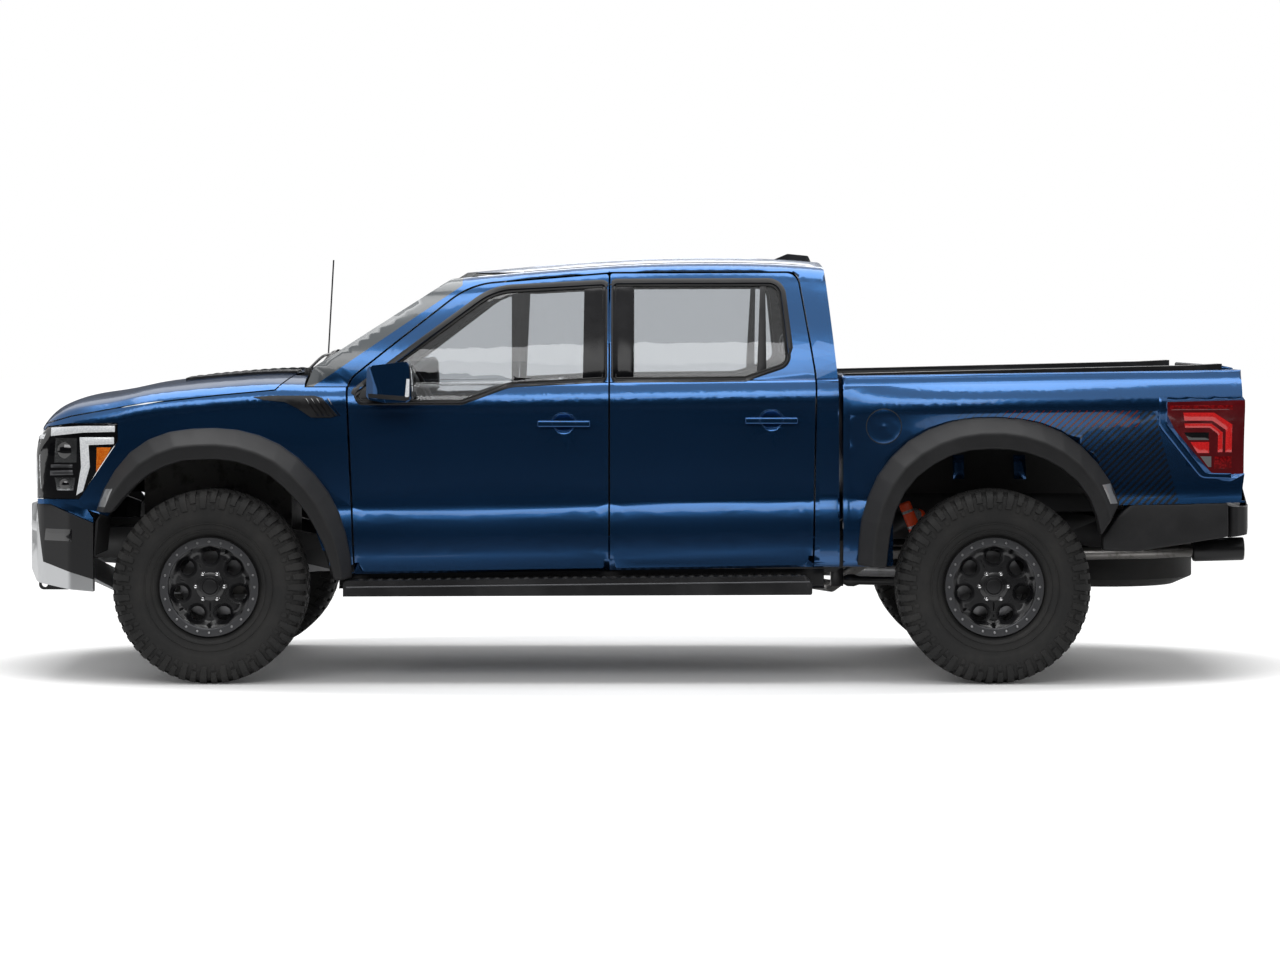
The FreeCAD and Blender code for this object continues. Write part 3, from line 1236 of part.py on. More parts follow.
node("wheel_flares", Part.makeCompound([pair(mirror_shape(flare(front_axle_x, front_flare_outer, front_flare_inner, nose_outer))),
                                        pair(mirror_shape(flare(rear_axle_x, rear_flare_outer, rear_flare_inner, behind_cab))),
                                        pair(rear_cladding())]))
node("cargo_bed", cargo_bed())
node("bed_rail_caps", pair(prism([(bed_front + 10, size("bed_top_z") + at_rake(bed_front + 10) + gap),
                                  (2760, size("bed_top_z") + at_rake(2760) + gap), (2760, 1508), (2600, 1500),
                                  (bed_front + 10, 1461)], -940, -806)))
node("front_bumper", front_bumper())
node("rear_bumper", rear_bumper())
node("grille", grille())
node("headlamps", pair(lamp_housing()))
node("tail_lamps", pair(tail_lamp()))
node("running_boards", pair(running_board()))
node("front_seats", Part.makeCompound([seat(-410, 250), seat(410, 250)]))
node("rear_seat", bench())
node("dashboard", dashboard())
node("steering_wheel", steering_wheel())
mast = bar((-1632, 800, 1400), (-1597, 800, 2029), 4).cut(nose_outer)
fin = prism([(660, 1990), (668, 2018), (735, 2046, 20), (838, 2036, 10), (858, 1990)], -34, 34).cut(cab_outer)
node("aerials", Part.makeCompound([mast, fin]))
tailgate_profile = [(2778, 882), (2778, 1500, 10), (2846, 1486, 10), (2848, 1355), (2857, 1330), (2857, 985),
                    (2840, 950), (2836, 874), (2790, 874)]
gate_pin = Part.makeCylinder(9, 2 * gate_half + 44, Vector(2790, -gate_half - 22, floor_z), Vector(0, 1, 0))
gate = prism(tailgate_profile, -gate_half, gate_half)
gate = gate.cut(Part.makeBox(40, 1180, 270, Vector(2850, -590, 1030))).cut(Part.makeBox(40, 240, 80, Vector(2830, -120, 1230)))
node("tailgate", gate.fuse(gate_pin).removeSplitter())

fills = [("front", front_door, front_window), ("rear", rear_door, rear_window)]
for place, points, window in fills:
    left_door = door_solid(points, window)
    left_glass = door_glass(window)
    for name, turn in (("left", lambda shape: shape), ("right", mirror_shape)):
        node(f"door_{place}_{name}", turn(left_door))
        node(f"glass_{place}_{name}", turn(left_glass))
left_mirror = door_mirror()
node("mirror_left", left_mirror)
node("mirror_right", mirror_shape(left_mirror))

# Checks, then one STEP file for each sub-part
doc.recompute()
for item in doc.Objects:
    if "Invalid" in item.State or "Error" in item.State:
        raise RuntimeError(f"{item.Label} failed: {item.State}")
os.makedirs("parts", exist_ok=True)
for item in nodes:
    shape = item.Shape
    if shape.isNull() or not shape.isValid():
        raise RuntimeError(f"{item.Label} has no valid shape")
    shape.exportStep(f"parts/{item.Label}.step")
print(len(nodes), "sub-parts written")
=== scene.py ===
# Looks of the crew-cab off-road pickup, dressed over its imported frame.
# Metres: X runs to the tail, Y to the truck's right, Z up from the floor.
import json
import math
import bmesh
import bpy
import numpy as np
from mathutils import Matrix, Vector
from mathutils.bvhtree import BVHTree


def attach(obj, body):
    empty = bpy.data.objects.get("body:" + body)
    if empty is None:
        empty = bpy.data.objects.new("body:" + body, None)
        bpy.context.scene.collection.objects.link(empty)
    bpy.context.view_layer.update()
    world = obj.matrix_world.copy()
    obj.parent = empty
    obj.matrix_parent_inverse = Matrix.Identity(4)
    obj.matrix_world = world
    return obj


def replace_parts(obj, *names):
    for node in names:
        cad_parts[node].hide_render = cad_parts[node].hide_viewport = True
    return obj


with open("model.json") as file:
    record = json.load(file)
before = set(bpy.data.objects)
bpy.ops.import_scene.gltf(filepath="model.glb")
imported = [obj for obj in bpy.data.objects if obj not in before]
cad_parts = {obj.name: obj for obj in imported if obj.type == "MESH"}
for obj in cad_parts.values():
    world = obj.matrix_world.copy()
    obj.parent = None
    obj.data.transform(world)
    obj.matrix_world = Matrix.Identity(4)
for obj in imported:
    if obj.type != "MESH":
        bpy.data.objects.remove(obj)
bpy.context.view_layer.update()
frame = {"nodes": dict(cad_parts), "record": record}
nodes = frame["nodes"]
scene = bpy.context.scene
sides = (("left", -1), ("right", 1))


# Shader maths: a socket with arithmetic
class Wire:
    def __init__(self, look, socket):
        self.look = look
        self.socket = socket

    def maths(self, operation, *others):
        return self.look.make("ShaderNodeMath", {"operation": operation}, dict(enumerate((self,) + others)))

    def __add__(self, other):
        return self.maths("ADD", other)

    def __sub__(self, other):
        return self.maths("SUBTRACT", other)

    def __mul__(self, other):
        return self.maths("MULTIPLY", other)

    def __rsub__(self, other):
        return (self * -1.0) + other

    def __gt__(self, other):
        return self.maths("GREATER_THAN", other)

    def __lt__(self, other):
        return self.maths("LESS_THAN", other)

    __radd__ = __add__
    __rmul__ = __mul__

    def size(self):
        return self.maths("ABSOLUTE")

    def larger(self, other):
        return self.maths("MAXIMUM", other)

    # goes smoothly from toLow to toHigh as the value goes from low to high
    def ramp(self, low, high, toLow=0.0, toHigh=1.0):
        inputs = {"Value": self, "From Min": low, "From Max": high, "To Min": toLow, "To Max": toHigh}
        return self.look.make("ShaderNodeMapRange", {"interpolation_type": "SMOOTHSTEP"}, inputs)


# A node tree and its shader: constants go on the shader, varying inputs are wires
class Shading:
    def __init__(self, tree, shader):
        self.tree = tree
        self.shader = tree.nodes[shader]

    def put(self, name, value, node=None):
        socket = (node or self.shader).inputs[name]
        if isinstance(value, Wire):
            self.tree.links.new(value.socket, socket)
        else:
            isColor = socket.type == "RGBA" and len(value) == 3
            socket.default_value = (*value, 1.0) if isColor else value

    def make(self, kind, settings=None, inputs=None, output=0):
        node = self.tree.nodes.new(kind)
        for key, value in (settings or {}).items():
            setattr(node, key, value)
        for key, value in (inputs or {}).items():
            self.put(key, value, node)
        return Wire(self, node.outputs[output])

    def place(self):
        return self.make("ShaderNodeTexCoord", output=3)

    # x, y and z of the point in the truck's own frame
    def axes(self):
        parts = self.tree.nodes.new("ShaderNodeSeparateXYZ")
        self.put("Vector", self.place(), parts)
        return [Wire(self, parts.outputs[i]) for i in range(3)]

    def noise(self, scale, detail=3.0, rough=0.55):
        inputs = {"Vector": self.place(), "Scale": scale, "Detail": detail, "Roughness": rough}
        return self.make("ShaderNodeTexNoise", None, inputs)

    def cells(self, scale):
        return self.make("ShaderNodeTexVoronoi", None, {"Vector": self.place(), "Scale": scale})

    def blend(self, share, first, second):
        return self.make("ShaderNodeMix", {"data_type": "RGBA"}, {0: share, 6: first, 7: second}, output=2)

    def relief(self, height, strength, depth):
        inputs = {"Height": height, "Strength": strength, "Distance": depth}
        self.put("Normal", self.make("ShaderNodeBump", None, inputs))

    def glow(self, color, strength):
        self.put("Emission Color", color)
        self.put("Emission Strength", strength)


# One material; the extras are the shader's inputs, with _ for a space
class Look(Shading):
    def __init__(self, name, color, roughness, metallic=0.0, **extras):
        self.material = bpy.data.materials.new(name)
        self.material.use_nodes = True
        super().__init__(self.material.node_tree, "Principled BSDF")
        for key, value in {"Base_Color": color, "Roughness": roughness, "Metallic": metallic, **extras}.items():
            self.put(key.replace("_", " "), value)


# Mesh from points and faces: doubles merged, slivers dissolved, faces turned outwards
def cleanMesh(name, form, gap):
    mesh = bpy.data.meshes.new(name)
    mesh.from_pydata(np.vstack(form.points).tolist(), [], form.faces)
    work = bmesh.new()
    work.from_mesh(mesh)
    bmesh.ops.remove_doubles(work, verts=work.verts, dist=gap)
    bmesh.ops.dissolve_degenerate(work, edges=work.edges, dist=1e-7)
    bmesh.ops.recalc_face_normals(work, faces=work.faces)
    work.to_mesh(mesh)
    work.free()
    return mesh


# Shapes gathered from surfaces that are worked out as whole arrays
class Form:
    def __init__(self):
        self.points = []
        self.faces = []
        self.count = 0

    def add(self, points, faces):
        points = np.asarray(points, float).reshape(-1, 3)
        self.points.append(points)
        self.faces += [[index + self.count for index in face] for face in faces]
        self.count += len(points)
        return self

    # grid of points: neighbours make quads, and either way round may close on itself
    def sheet(self, grid, loopU=False, loopV=False, caps=False):
        rows, columns = grid.shape[:2]
        index = np.arange(rows * columns).reshape(rows, columns)
        if loopU:
            index = np.vstack([index, index[:1]])
        if loopV:
            index = np.hstack([index, index[:, :1]])
        quads = np.stack([index[:-1, :-1], index[1:, :-1], index[1:, 1:], index[:-1, 1:]], -1).reshape(-1, 4)
        faces = quads.tolist()
        if caps:
            faces += [index[0, :columns].tolist(), index[-1, :columns][::-1].tolist()]
        return self.add(grid, faces)

    def join(self, form):
        return self.add(np.vstack(form.points), form.faces)

    # the form set at a place, and mirrored left to right first where way is -1
    def placed(self, centre, way=1):
        faces = self.faces if way > 0 else [face[::-1] for face in self.faces]
        return Form().add(np.vstack(self.points) * (1, way, 1) + np.asarray(centre, float), faces)

    def build(self, name, body, slotName, look, angle=35):
        return finish(bpy.data.objects.new(name, cleanMesh(name, self, 1e-6)), body, look, angle)


# Sets a piece in the scene on its body, with its materials, and smooth shading up to an angle
def finish(piece, body, look, angle, pick=None):
    if piece.name not in scene.collection.objects:
        scene.collection.objects.link(piece)
    mesh = piece.data
    mesh.materials.clear()
    for each in (look if isinstance(look, list) else [look]):
        mesh.materials.append(each.material)
    if pick:
        centres, normals = np.empty((2, len(mesh.polygons) * 3))
        mesh.polygons.foreach_get("center", centres)
        mesh.polygons.foreach_get("normal", normals)
        chosen = pick(centres.reshape(-1, 3), normals.reshape(-1, 3))
        mesh.polygons.foreach_set("material_index", np.asarray(chosen, np.int32))
    mesh.shade_smooth()
    mesh.set_sharp_from_angle(angle=math.radians(angle))
    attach(piece, body)
    return piece


bodyOf = {node: body for body, members in frame["record"]["behaviour"]["bodies"].items() for node in members}


def copyOf(node):
    piece = bpy.data.objects.new(node + "_skin", nodes[node].data.copy())
    scene.collection.objects.link(piece)
    piece.modifiers.new("Weld", "WELD").merge_threshold = 0.00005
    return piece


# The piece's modifiers worked into its mesh
def applied(piece):
    bpy.context.view_layer.update()
    mesh = bpy.data.meshes.new_from_object(piece.evaluated_get(bpy.context.evaluated_depsgraph_get()))
    piece.modifiers.clear()
    piece.data = mesh


def voxels(piece, size):
    remesh = piece.modifiers.new("Remesh", "REMESH")
    remesh.mode = "VOXEL"
    remesh.voxel_size = size


# A welded, smoothly shaded copy that stands for a CAD node. Each corner's normal leans to the larger
# faces round it, so flat panels stay flat beside their rounded edges
def dress(node, look, angle=32, pick=None):
    piece = copyOf(node)
    applied(piece)
    finish(piece, bodyOf[node], look, angle, pick)
    piece.modifiers.new("Even", "WEIGHTED_NORMAL").keep_sharp = True
    applied(piece)
    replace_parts(piece, node)


# Moulded plastic: the node's form meshed anew in even squares and eased, so its broad curves shade without creases
def mould(node, look, size):
    piece = copyOf(node)
    voxels(piece, size)
    smooth = piece.modifiers.new("Smooth", "SMOOTH")
    smooth.factor = 0.5
    smooth.iterations = 4
    applied(piece)
    finish(piece, bodyOf[node], look, 60)
    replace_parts(piece, node)


# Closed outline through corners (u, v, radius): each corner is an arc tangent to both its sides
def rounded(corners, steps=5):
    made = []
    count = len(corners)
    for index, corner in enumerate(corners):
        here = np.array(corner[:2], float)
        radius = corner[2] if len(corner) > 2 else 0
        if not radius:
            made.append(here[None])
            continue
        back = np.array(corners[index - 1][:2]) - here
        ahead = np.array(corners[(index + 1) % count][:2]) - here
        back /= np.linalg.norm(back)
        ahead /= np.linalg.norm(ahead)
        half = math.acos(np.clip(back @ ahead, -1, 1)) / 2
        middle = (back + ahead) / np.linalg.norm(back + ahead)
        centre = here + middle * radius / math.sin(half)
        first = here + back * radius / math.tan(half) - centre
        last = here + ahead * radius / math.tan(half) - centre
        start = math.atan2(first[1], first[0])
        turn = (math.atan2(last[1], last[0]) - start + math.pi) % (2 * math.pi) - math.pi
        angles = start + turn * np.linspace(0, 1, steps)
        made.append(centre + radius * np.stack([np.cos(angles), np.sin(angles)], -1))
    return np.vstack(made)


# Twice the area inside a closed line: positive where it runs anticlockwise
def windingOf(line):
    return np.sum(line[:, 0] * np.roll(line[:, 1], -1) - np.roll(line[:, 0], -1) * line[:, 1])


# Each point of a closed line moved along its own outward normal
def offset(line, by):
    ahead = np.roll(line, -1, 0) - line
    back = line - np.roll(line, 1, 0)
    ahead /= np.linalg.norm(ahead, axis=1, keepdims=True) + 1e-12
    back /= np.linalg.norm(back, axis=1, keepdims=True) + 1e-12
    turn = ahead + back
    normal = np.stack([turn[:, 1], -turn[:, 0]], -1)
    scale = 2 / np.maximum(np.sum(turn * turn, axis=1, keepdims=True), 0.6)
    return line + normal * scale * by * (1 if windingOf(line) > 0 else -1)


# Plate with softened edges: its outline (x, z), or (y, z) from the front, at several depths,
# drawn in by the bevel at both faces
def plate(line, low, high, bevel, front=False):
    if windingOf(line) < 0:
        line = line[::-1]
    rings = []
    for depth, inset in ((low, bevel), (low + bevel * 0.3, bevel * 0.3), (low + bevel, 0), (high - bevel, 0),
                         (high - bevel * 0.3, bevel * 0.3), (high, bevel)):
        u, v = offset(line, -inset).T
        across = np.full(len(u), depth)
        rings.append(np.stack([across, u, v] if front else [u, across, v], -1))
    grid = np.stack(rings)
    return Form().sheet(grid[::-1] if front else grid, loopV=True, caps=True)


# Section (n, 2) carried along a path (m, 3): its first axis lies along `across`, its second along the path's normal
def carried(path, section, across, loop=False, scale=None):
    path = np.asarray(path, float)
    run = np.roll(path, -1, 0) - np.roll(path, 1, 0) if loop else np.gradient(path, axis=0)
    run /= np.linalg.norm(run, axis=1, keepdims=True)
    across = np.broadcast_to(np.asarray(across, float), path.shape)
    first = across - run * np.sum(across * run, axis=1, keepdims=True)
    first = first / np.linalg.norm(first, axis=1, keepdims=True)
    second = np.cross(run, first)
    width = np.ones(len(path)) if scale is None else np.asarray(scale)
    grid = (path[:, None] + first[:, None] * section[None, :, :1] * width[:, None, None]
            + second[:, None] * section[None, :, 1:] * width[:, None, None])
    return Form().sheet(grid, loopU=loop, loopV=True, caps=not loop)


# Cosine and sine of equal steps round a circle, one row each
def roundSteps(count):
    turns = np.arange(count) * 2 * math.pi / count
    return np.stack([np.cos(turns), np.sin(turns)], -1)


def ring(radius, count, flat=1.0):
    return roundSteps(count) * (radius, radius * flat)


# Closed profile of (radius, along) pairs turned about an axis through a point
def turned(profile, count, axis="y", centre=(0, 0, 0)):
    profile = np.asarray(profile, float)
    cos, sin = roundSteps(count).T[..., None]
    along = np.broadcast_to(profile[None, :, 1], (count, len(profile)))
    a = profile[None, :, 0] * cos
    b = profile[None, :, 0] * sin
    grid = np.stack({"y": (a, along, b), "x": (along, a, b), "z": (b, a, along)}[axis], -1)
    return Form().sheet(grid + np.asarray(centre, float), loopU=True, loopV=True)


# Straight round bar of changing radius between two points: (share along, radius) pairs
def stem(low, high, profile, count=20):
    low = np.asarray(low, float)
    high = np.asarray(high, float)
    shares, radii = np.array(profile, float).T
    path = low + (high - low) * shares[:, None]
    way = (high - low) / np.linalg.norm(high - low)
    side = np.cross(way, (0.3, 0.5, 0.81))
    side /= np.linalg.norm(side)
    front = np.cross(way, side)
    cos, sin = roundSteps(count).T[:, None, :, None]
    grid = path[:, None] + (cos * side + sin * front) * radii[:, None, None]
    return Form().sheet(grid, loopV=True, caps=True)


# Smooth line through points: each axis is a cubic of the distance along the chords
def flowing(points, count):
    points = np.asarray(points, float)
    spots = np.concatenate([[0], np.cumsum(np.linalg.norm(np.diff(points, axis=0), axis=1))])
    goal = np.linspace(0, spots[-1], count)
    slopes = np.gradient(points, spots, axis=0)
    index = np.clip(np.searchsorted(spots, goal, side="right") - 1, 0, len(spots) - 2)
    width = spots[index + 1] - spots[index]
    t = ((goal - spots[index]) / width)[:, None]
    width = width[:, None]
    return ((2 * t ** 3 - 3 * t ** 2 + 1) * points[index] + (t ** 3 - 2 * t ** 2 + t) * width * slopes[index]
            + (3 * t ** 2 - 2 * t ** 3) * points[index + 1] + (t ** 3 - t ** 2) * width * slopes[index + 1])


# Points between corners, so that a skin follows the surface
def spread(points, step=0.02):
    points = np.asarray(points, float)
    made = [points[:1]]
    for first, last in zip(points[:-1], points[1:]):
        count = max(1, int(round(np.linalg.norm(last - first) / step)))
        made.append(first + (last - first) * np.linspace(0, 1, count + 1)[1:, None])
    return np.vstack(made)


def closedSpread(points, step):
    return spread(np.vstack([points, points[:1]]), step)[:-1]


def resampled(line, count):
    goal = np.linspace(0, 1, count)
    spots = np.linspace(0, 1, len(line))
    return np.stack([np.interp(goal, spots, line[:, axis]) for axis in (0, 1)], -1)


# The given nodes as one surface that rays can meet
def treeOf(*names):
    points = []
    faces = []
    for name in names:
        mesh = nodes[name].data
        faces += [[index + len(points) for index in polygon.vertices] for polygon in mesh.polygons]
        points += [vertex.co.copy() for vertex in mesh.vertices]
    return BVHTree.FromPolygons(points, faces)


# Ways that rays run: from the left as (x, z) places, from above as (x, y), from ahead and astern as (y, z)
rays = {"side": ((0, 1, 0), -3.0), "house": ((0, 1, 0), -0.93), "down": ((0, 0, -1), 3.0), "ahead": ((1, 0, 0), -3.5),
        "astern": ((-1, 0, 0), 3.5), "dash": ((-1, 0, 0), -0.85), "mirror": ((-1, 0, 0), -0.9)}


# Points where rays first meet the surface, stood out from it by lift
def onSurface(tree, line, lift=0.0, ray="side"):
    way, start = rays[ray]
    axis = [abs(part) for part in way].index(1)
    spots = []
    for place in line:
        origin = Vector(np.insert(np.asarray(place, float), axis, start))
        hit = tree.ray_cast(origin, Vector(way))[0]
        if hit is None:
            hit = tree.find_nearest(origin + Vector(way) * 2.0)[0]
        spots.append(hit - Vector(way) * lift)
    return np.array(spots)


# Closed skin over a surface between two lines, standing out by lift; its border is drawn in and its back sunk
def loopSkin(tree, first, second, lift, across, ray="side", loop=True):
    border, sink = 0.3, 0.003
    share = np.linspace(0, 1, across)[None, :, None]
    flat = first[:, None] * (1 - share) + second[:, None] * share
    hit = onSurface(tree, flat.reshape(-1, 2), 0.0, ray).reshape(len(first), across, 3)
    high = np.full((len(first), across), lift)
    high[:, [0, -1]] = lift * border
    if not loop:
        high[[0, -1]] = lift * border
    push = np.array(rays[ray][0], float)
    grid = np.concatenate([hit - push * high[..., None], (hit + push * sink)[:, ::-1]], 1)
    return Form().sheet(grid, loopU=loop, loopV=True, caps=not loop)


def skin(tree, first, second, lift, across, step=0.02, ray="side"):
    first = spread(first, step)
    second = spread(second, step)
    count = max(len(first), len(second))
    return loopSkin(tree, resampled(first, count), resampled(second, count), lift, across, ray, False)


# Skin over an upright box (left, right, low, high) of places, its lines level, or standing where upright
def panel(tree, box, lift, across, step=0.02, ray="side", upright=False):
    left, right, low, high = box
    if upright:
        return skin(tree, [(left, low), (left, high)], [(right, low), (right, high)], lift, across, step, ray)
    return skin(tree, [(left, low), (right, low)], [(left, high), (right, high)], lift, across, step, ray)


pairs = {"chassis": ("chassis", "chassis"), "hood": ("hood_lid", "hood_lid"),
         "front": ("front_left_door", "front_right_door"), "rear": ("rear_left_door", "rear_right_door")}


# A form of the left side and its mirror image, each on its body; both may stand for a node
def bothSides(form, name, slotName, look, pair="chassis", angle=35, node=None):
    for (side, way), body in zip(sides, pairs[pair]):
        piece = form.placed((0, 0, 0), -way).build(f"{name}_{side}", body, slotName, look, angle)
        if node:
            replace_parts(piece, node)


print("stage: looks")
paintColors = {"middle": (0.016, 0.076, 0.205), "dark": (0.012, 0.058, 0.165), "flake": (0.021, 0.09, 0.235),
               "dust": (0.07, 0.062, 0.055), "ink": (0.003, 0.005, 0.011), "inkRed": (0.2, 0.012, 0.01),
               "frit": (0.075, 0.085, 0.092), "metallic": 0.88}


# Metallic blue: fine flakes, slow clouds, and dust that thickens towards the sill
def deepBlue(name):
    look = Look(name, paintColors["middle"], 0.2, paintColors["metallic"], Coat_Weight=0.5, Coat_Roughness=0.04)
    flake = look.noise(900, 1.0, 0.4)
    cloud = look.noise(1.6, 2.0, 0.5)
    height = look.axes()[2]
    dust = height.ramp(0.85, 0.5, 0.0, 0.10) * look.noise(9, 4.0, 0.6)
    tinted = look.blend(flake.ramp(0.35, 0.7), paintColors["middle"], paintColors["flake"])
    tinted = look.blend(cloud.ramp(0.3, 0.7, 0.0, 0.3), tinted, paintColors["dark"])
    tinted = look.blend(dust, tinted, paintColors["dust"])
    look.put("Base Color", tinted)
    look.put("Roughness", cloud.ramp(0.2, 0.8, 0.19, 0.24))
    look.relief(flake, 0.03, 0.0002)
    return look, tinted


paint, _ = deepBlue("deepBlueMetallic")

# Slanted stripes behind the rear wheel: bands of x - z inside a region, the upper ones tinged red
stripes = {"pitch": 0.034, "top": 1.288, "start": 1.50, "slope": 0.28, "reach": 2.79, "half": 0.95,
           "redLow": 1.21, "redStart": 1.72, "redEnd": 2.36}
bedPaint, tinted = deepBlue("deepBlueStriped")
x, y, z = bedPaint.axes()
wave = ((x - z) * (2 * math.pi / stripes["pitch"])).maths("SINE")
inside = ((z < stripes["top"]) * (x > stripes["start"]) * ((x + (z * stripes["slope"])) < stripes["reach"])
          * (y.size() > stripes["half"]))
inked = (wave > x.ramp(1.5, 2.4, 0.95, 0.1)) * inside
red = ((z > stripes["redLow"]) * (x < stripes["redEnd"]) * (x > stripes["redStart"])
       * (wave > x.ramp(1.5, 2.4, 0.98, 0.75)))
ink = bedPaint.blend(red, paintColors["ink"], paintColors["inkRed"])
bedPaint.put("Base Color", bedPaint.blend(inked, tinted, ink))
bedPaint.put("Metallic", inked.ramp(0, 1, paintColors["metallic"], 0.0))

# The screen's dark glass border covers the front of its pillars, above a slanted line
border = {"slope": 0.6886, "height": 2.468, "rear": -0.852, "half": 0.5}
cabPaint, tinted = deepBlue("deepBlueCab")
x, y, z = cabPaint.axes()
frit = ((z - (x * border["slope"])) > border["height"]) * (x < border["rear"]) * (y.size() > border["half"])
cabPaint.put("Base Color", cabPaint.blend(frit, tinted, paintColors["frit"]))
cabPaint.put("Metallic", frit.ramp(0, 1, paintColors["metallic"], 0.0))


# Paler wear in clouds over a fine grain of pits
def plastic(name, color, roughness, grain=650, strength=0.12, **extras):
    look = Look(name, color, roughness, **extras)
    wear = look.noise(5, 5.0, 0.6)
    paler = tuple(min(1, c * 1.7 + 0.004) for c in color)
    look.put("Base Color", look.blend(wear.ramp(0.4, 0.75, 0.0, 0.6), color, paler))
    look.put("Roughness", wear.ramp(0.3, 0.7, roughness - 0.06, roughness + 0.08))
    look.relief(look.cells(grain), strength, 0.0004)
    return look


# Clouded metal with brown stains
def metal(name, color, roughness, grain, strength, dirt=0.0):
    look = Look(name, color, roughness, 0.95)
    cloud = look.noise(grain, 4.0, 0.6)
    mask = look.noise(14, 5.0, 0.65).ramp(0.5, 0.72, 0.0, dirt)
    look.put("Base Color", look.blend(mask, color, (0.035, 0.028, 0.022)))
    look.put("Roughness", cloud.ramp(0.3, 0.7, roughness - 0.05, roughness + 0.07) + mask * 0.3)
    look.relief(cloud, strength, 0.0003)
    return look


# Glass over a cellular lens pattern, lit from inside where glow is given
def lens(name, roughness, coat, scale, low, pale, deep, glow=None):
    look = Look(name, pale, roughness, Coat_Weight=coat)
    look.put("Base Color", look.blend(look.cells(scale).ramp(low, 0.7), pale, deep))
    if glow:
        look.glow(*glow)
    return look


def glass(name, color):
    look = Look(name, color, 0.02, Transmission_Weight=1.0, IOR=1.46)
    look.put("Roughness", look.noise(3, 2.0, 0.5).ramp(0.3, 0.8, 0.0, 0.03))
    return look


grained = plastic("grainedBlack", (0.015, 0.015, 0.016), 0.55, Specular_IOR_Level=0.28)
satin = plastic("satinBlack", (0.011, 0.011, 0.012), 0.36, 900, 0.05, Specular_IOR_Level=0.3)
pillarBlack = plastic("pillarBlack", (0.004, 0.004, 0.005), 0.16, 300, 0.0, Specular_IOR_Level=0.22)
gloss = plastic("pianoBlack", (0.003, 0.003, 0.004), 0.08, 300, 0.0, Coat_Weight=1.0, Coat_Roughness=0.02)
seal = plastic("rubberSeal", (0.006, 0.006, 0.006), 0.6, 1200, 0.05)
cabinTrim = plastic("cabinTrim", (0.022, 0.022, 0.024), 0.62, 800, 0.2)
carpet = plastic("carpet", (0.014, 0.014, 0.015), 0.95, 420, 0.9)
spray = plastic("bedLinerSpray", (0.012, 0.012, 0.012), 0.7, 190, 0.6)
chassisBlack = plastic("chassisBlack", (0.014, 0.014, 0.015), 0.42, 240, 0.12)
faceBlack = plastic("wheelBlack", (0.007, 0.007, 0.008), 0.3, 900, 0.03, Coat_Weight=0.3)
orange = plastic("damperOrange", (0.75, 0.06, 0.008), 0.32, 900, 0.02, Coat_Weight=0.5)
leather = plastic("seatLeather", (0.026, 0.026, 0.028), 0.5, 260, 0.35)
leatherAccent = plastic("seatBolster", (0.014, 0.014, 0.016), 0.46, 260, 0.35)
redDark = plastic("redSmokedLens", (0.12, 0.004, 0.007), 0.12, 300, 0.0, Coat_Weight=0.6)
greyLens = plastic("greyLens", (0.20, 0.205, 0.21), 0.12, 200, 0.05, Coat_Weight=0.8)
iron = metal("castIron", (0.14, 0.135, 0.13), 0.55, 200, 0.35, 0.5)
steel = metal("steel", (0.42, 0.42, 0.43), 0.3, 400, 0.05, 0.25)
brightBolt = metal("brightBolt", (0.7, 0.7, 0.71), 0.18, 500, 0.03)
pipeSteel = metal("exhaustSteel", (0.3, 0.29, 0.28), 0.35, 160, 0.1, 0.5)
silver = metal("silverBar", (0.55, 0.56, 0.57), 0.38, 700, 0.05, 0.08)
ringGrey = metal("ringGrey", (0.075, 0.076, 0.08), 0.42, 800, 0.06, 0.05)
disc = metal("brakeDisc", (0.36, 0.36, 0.37), 0.33, 90, 0.08, 0.3)
alloy = metal("alloy", (0.5, 0.5, 0.51), 0.42, 350, 0.1, 0.2)
mirrorFace = metal("mirrorFace", (0.8, 0.82, 0.84), 0.04, 40, 0.0)
reflector = metal("lampReflector", (0.42, 0.43, 0.44), 0.14, 120, 0.1)
whiteLight = lens("whiteLightBar", 0.18, 0.6, 120, 0.2, (0.9, 0.92, 0.93), (0.72, 0.75, 0.78), ((1, 1, 1), 0.12))
amber = lens("amberLens", 0.15, 0.8, 160, 0.2, (0.95, 0.27, 0.02), (0.75, 0.13, 0.005))
redLens = lens("redLens", 0.1, 1.0, 90, 0.15, (0.36, 0.006, 0.008), (0.16, 0.002, 0.004))
redBright = lens("redLightBar", 0.2, 0.8, 200, 0.2, (0.8, 0.02, 0.02), (0.55, 0.008, 0.01), ((0.9, 0.02, 0.02), 0.15))
sideGlass = glass("tintedGlass", (0.62, 0.64, 0.66))
screenGlass = glass("screenGlass", (0.8, 0.83, 0.83))

# Worn rubber: paler dust in clouds over fine grit
tyreLook = Look("tyreRubber", (0.02, 0.02, 0.02), 0.72, Specular_IOR_Level=0.3)
cloud = tyreLook.noise(6, 5.0, 0.6)
tyreLook.put("Base Color", tyreLook.blend(cloud.ramp(0.35, 0.75), (0.016, 0.016, 0.016), (0.034, 0.033, 0.032)))
tyreLook.put("Roughness", cloud.ramp(0.3, 0.7, 0.66, 0.82))
tyreLook.relief(tyreLook.noise(420, 3.0, 0.6), 0.25, 0.0006)

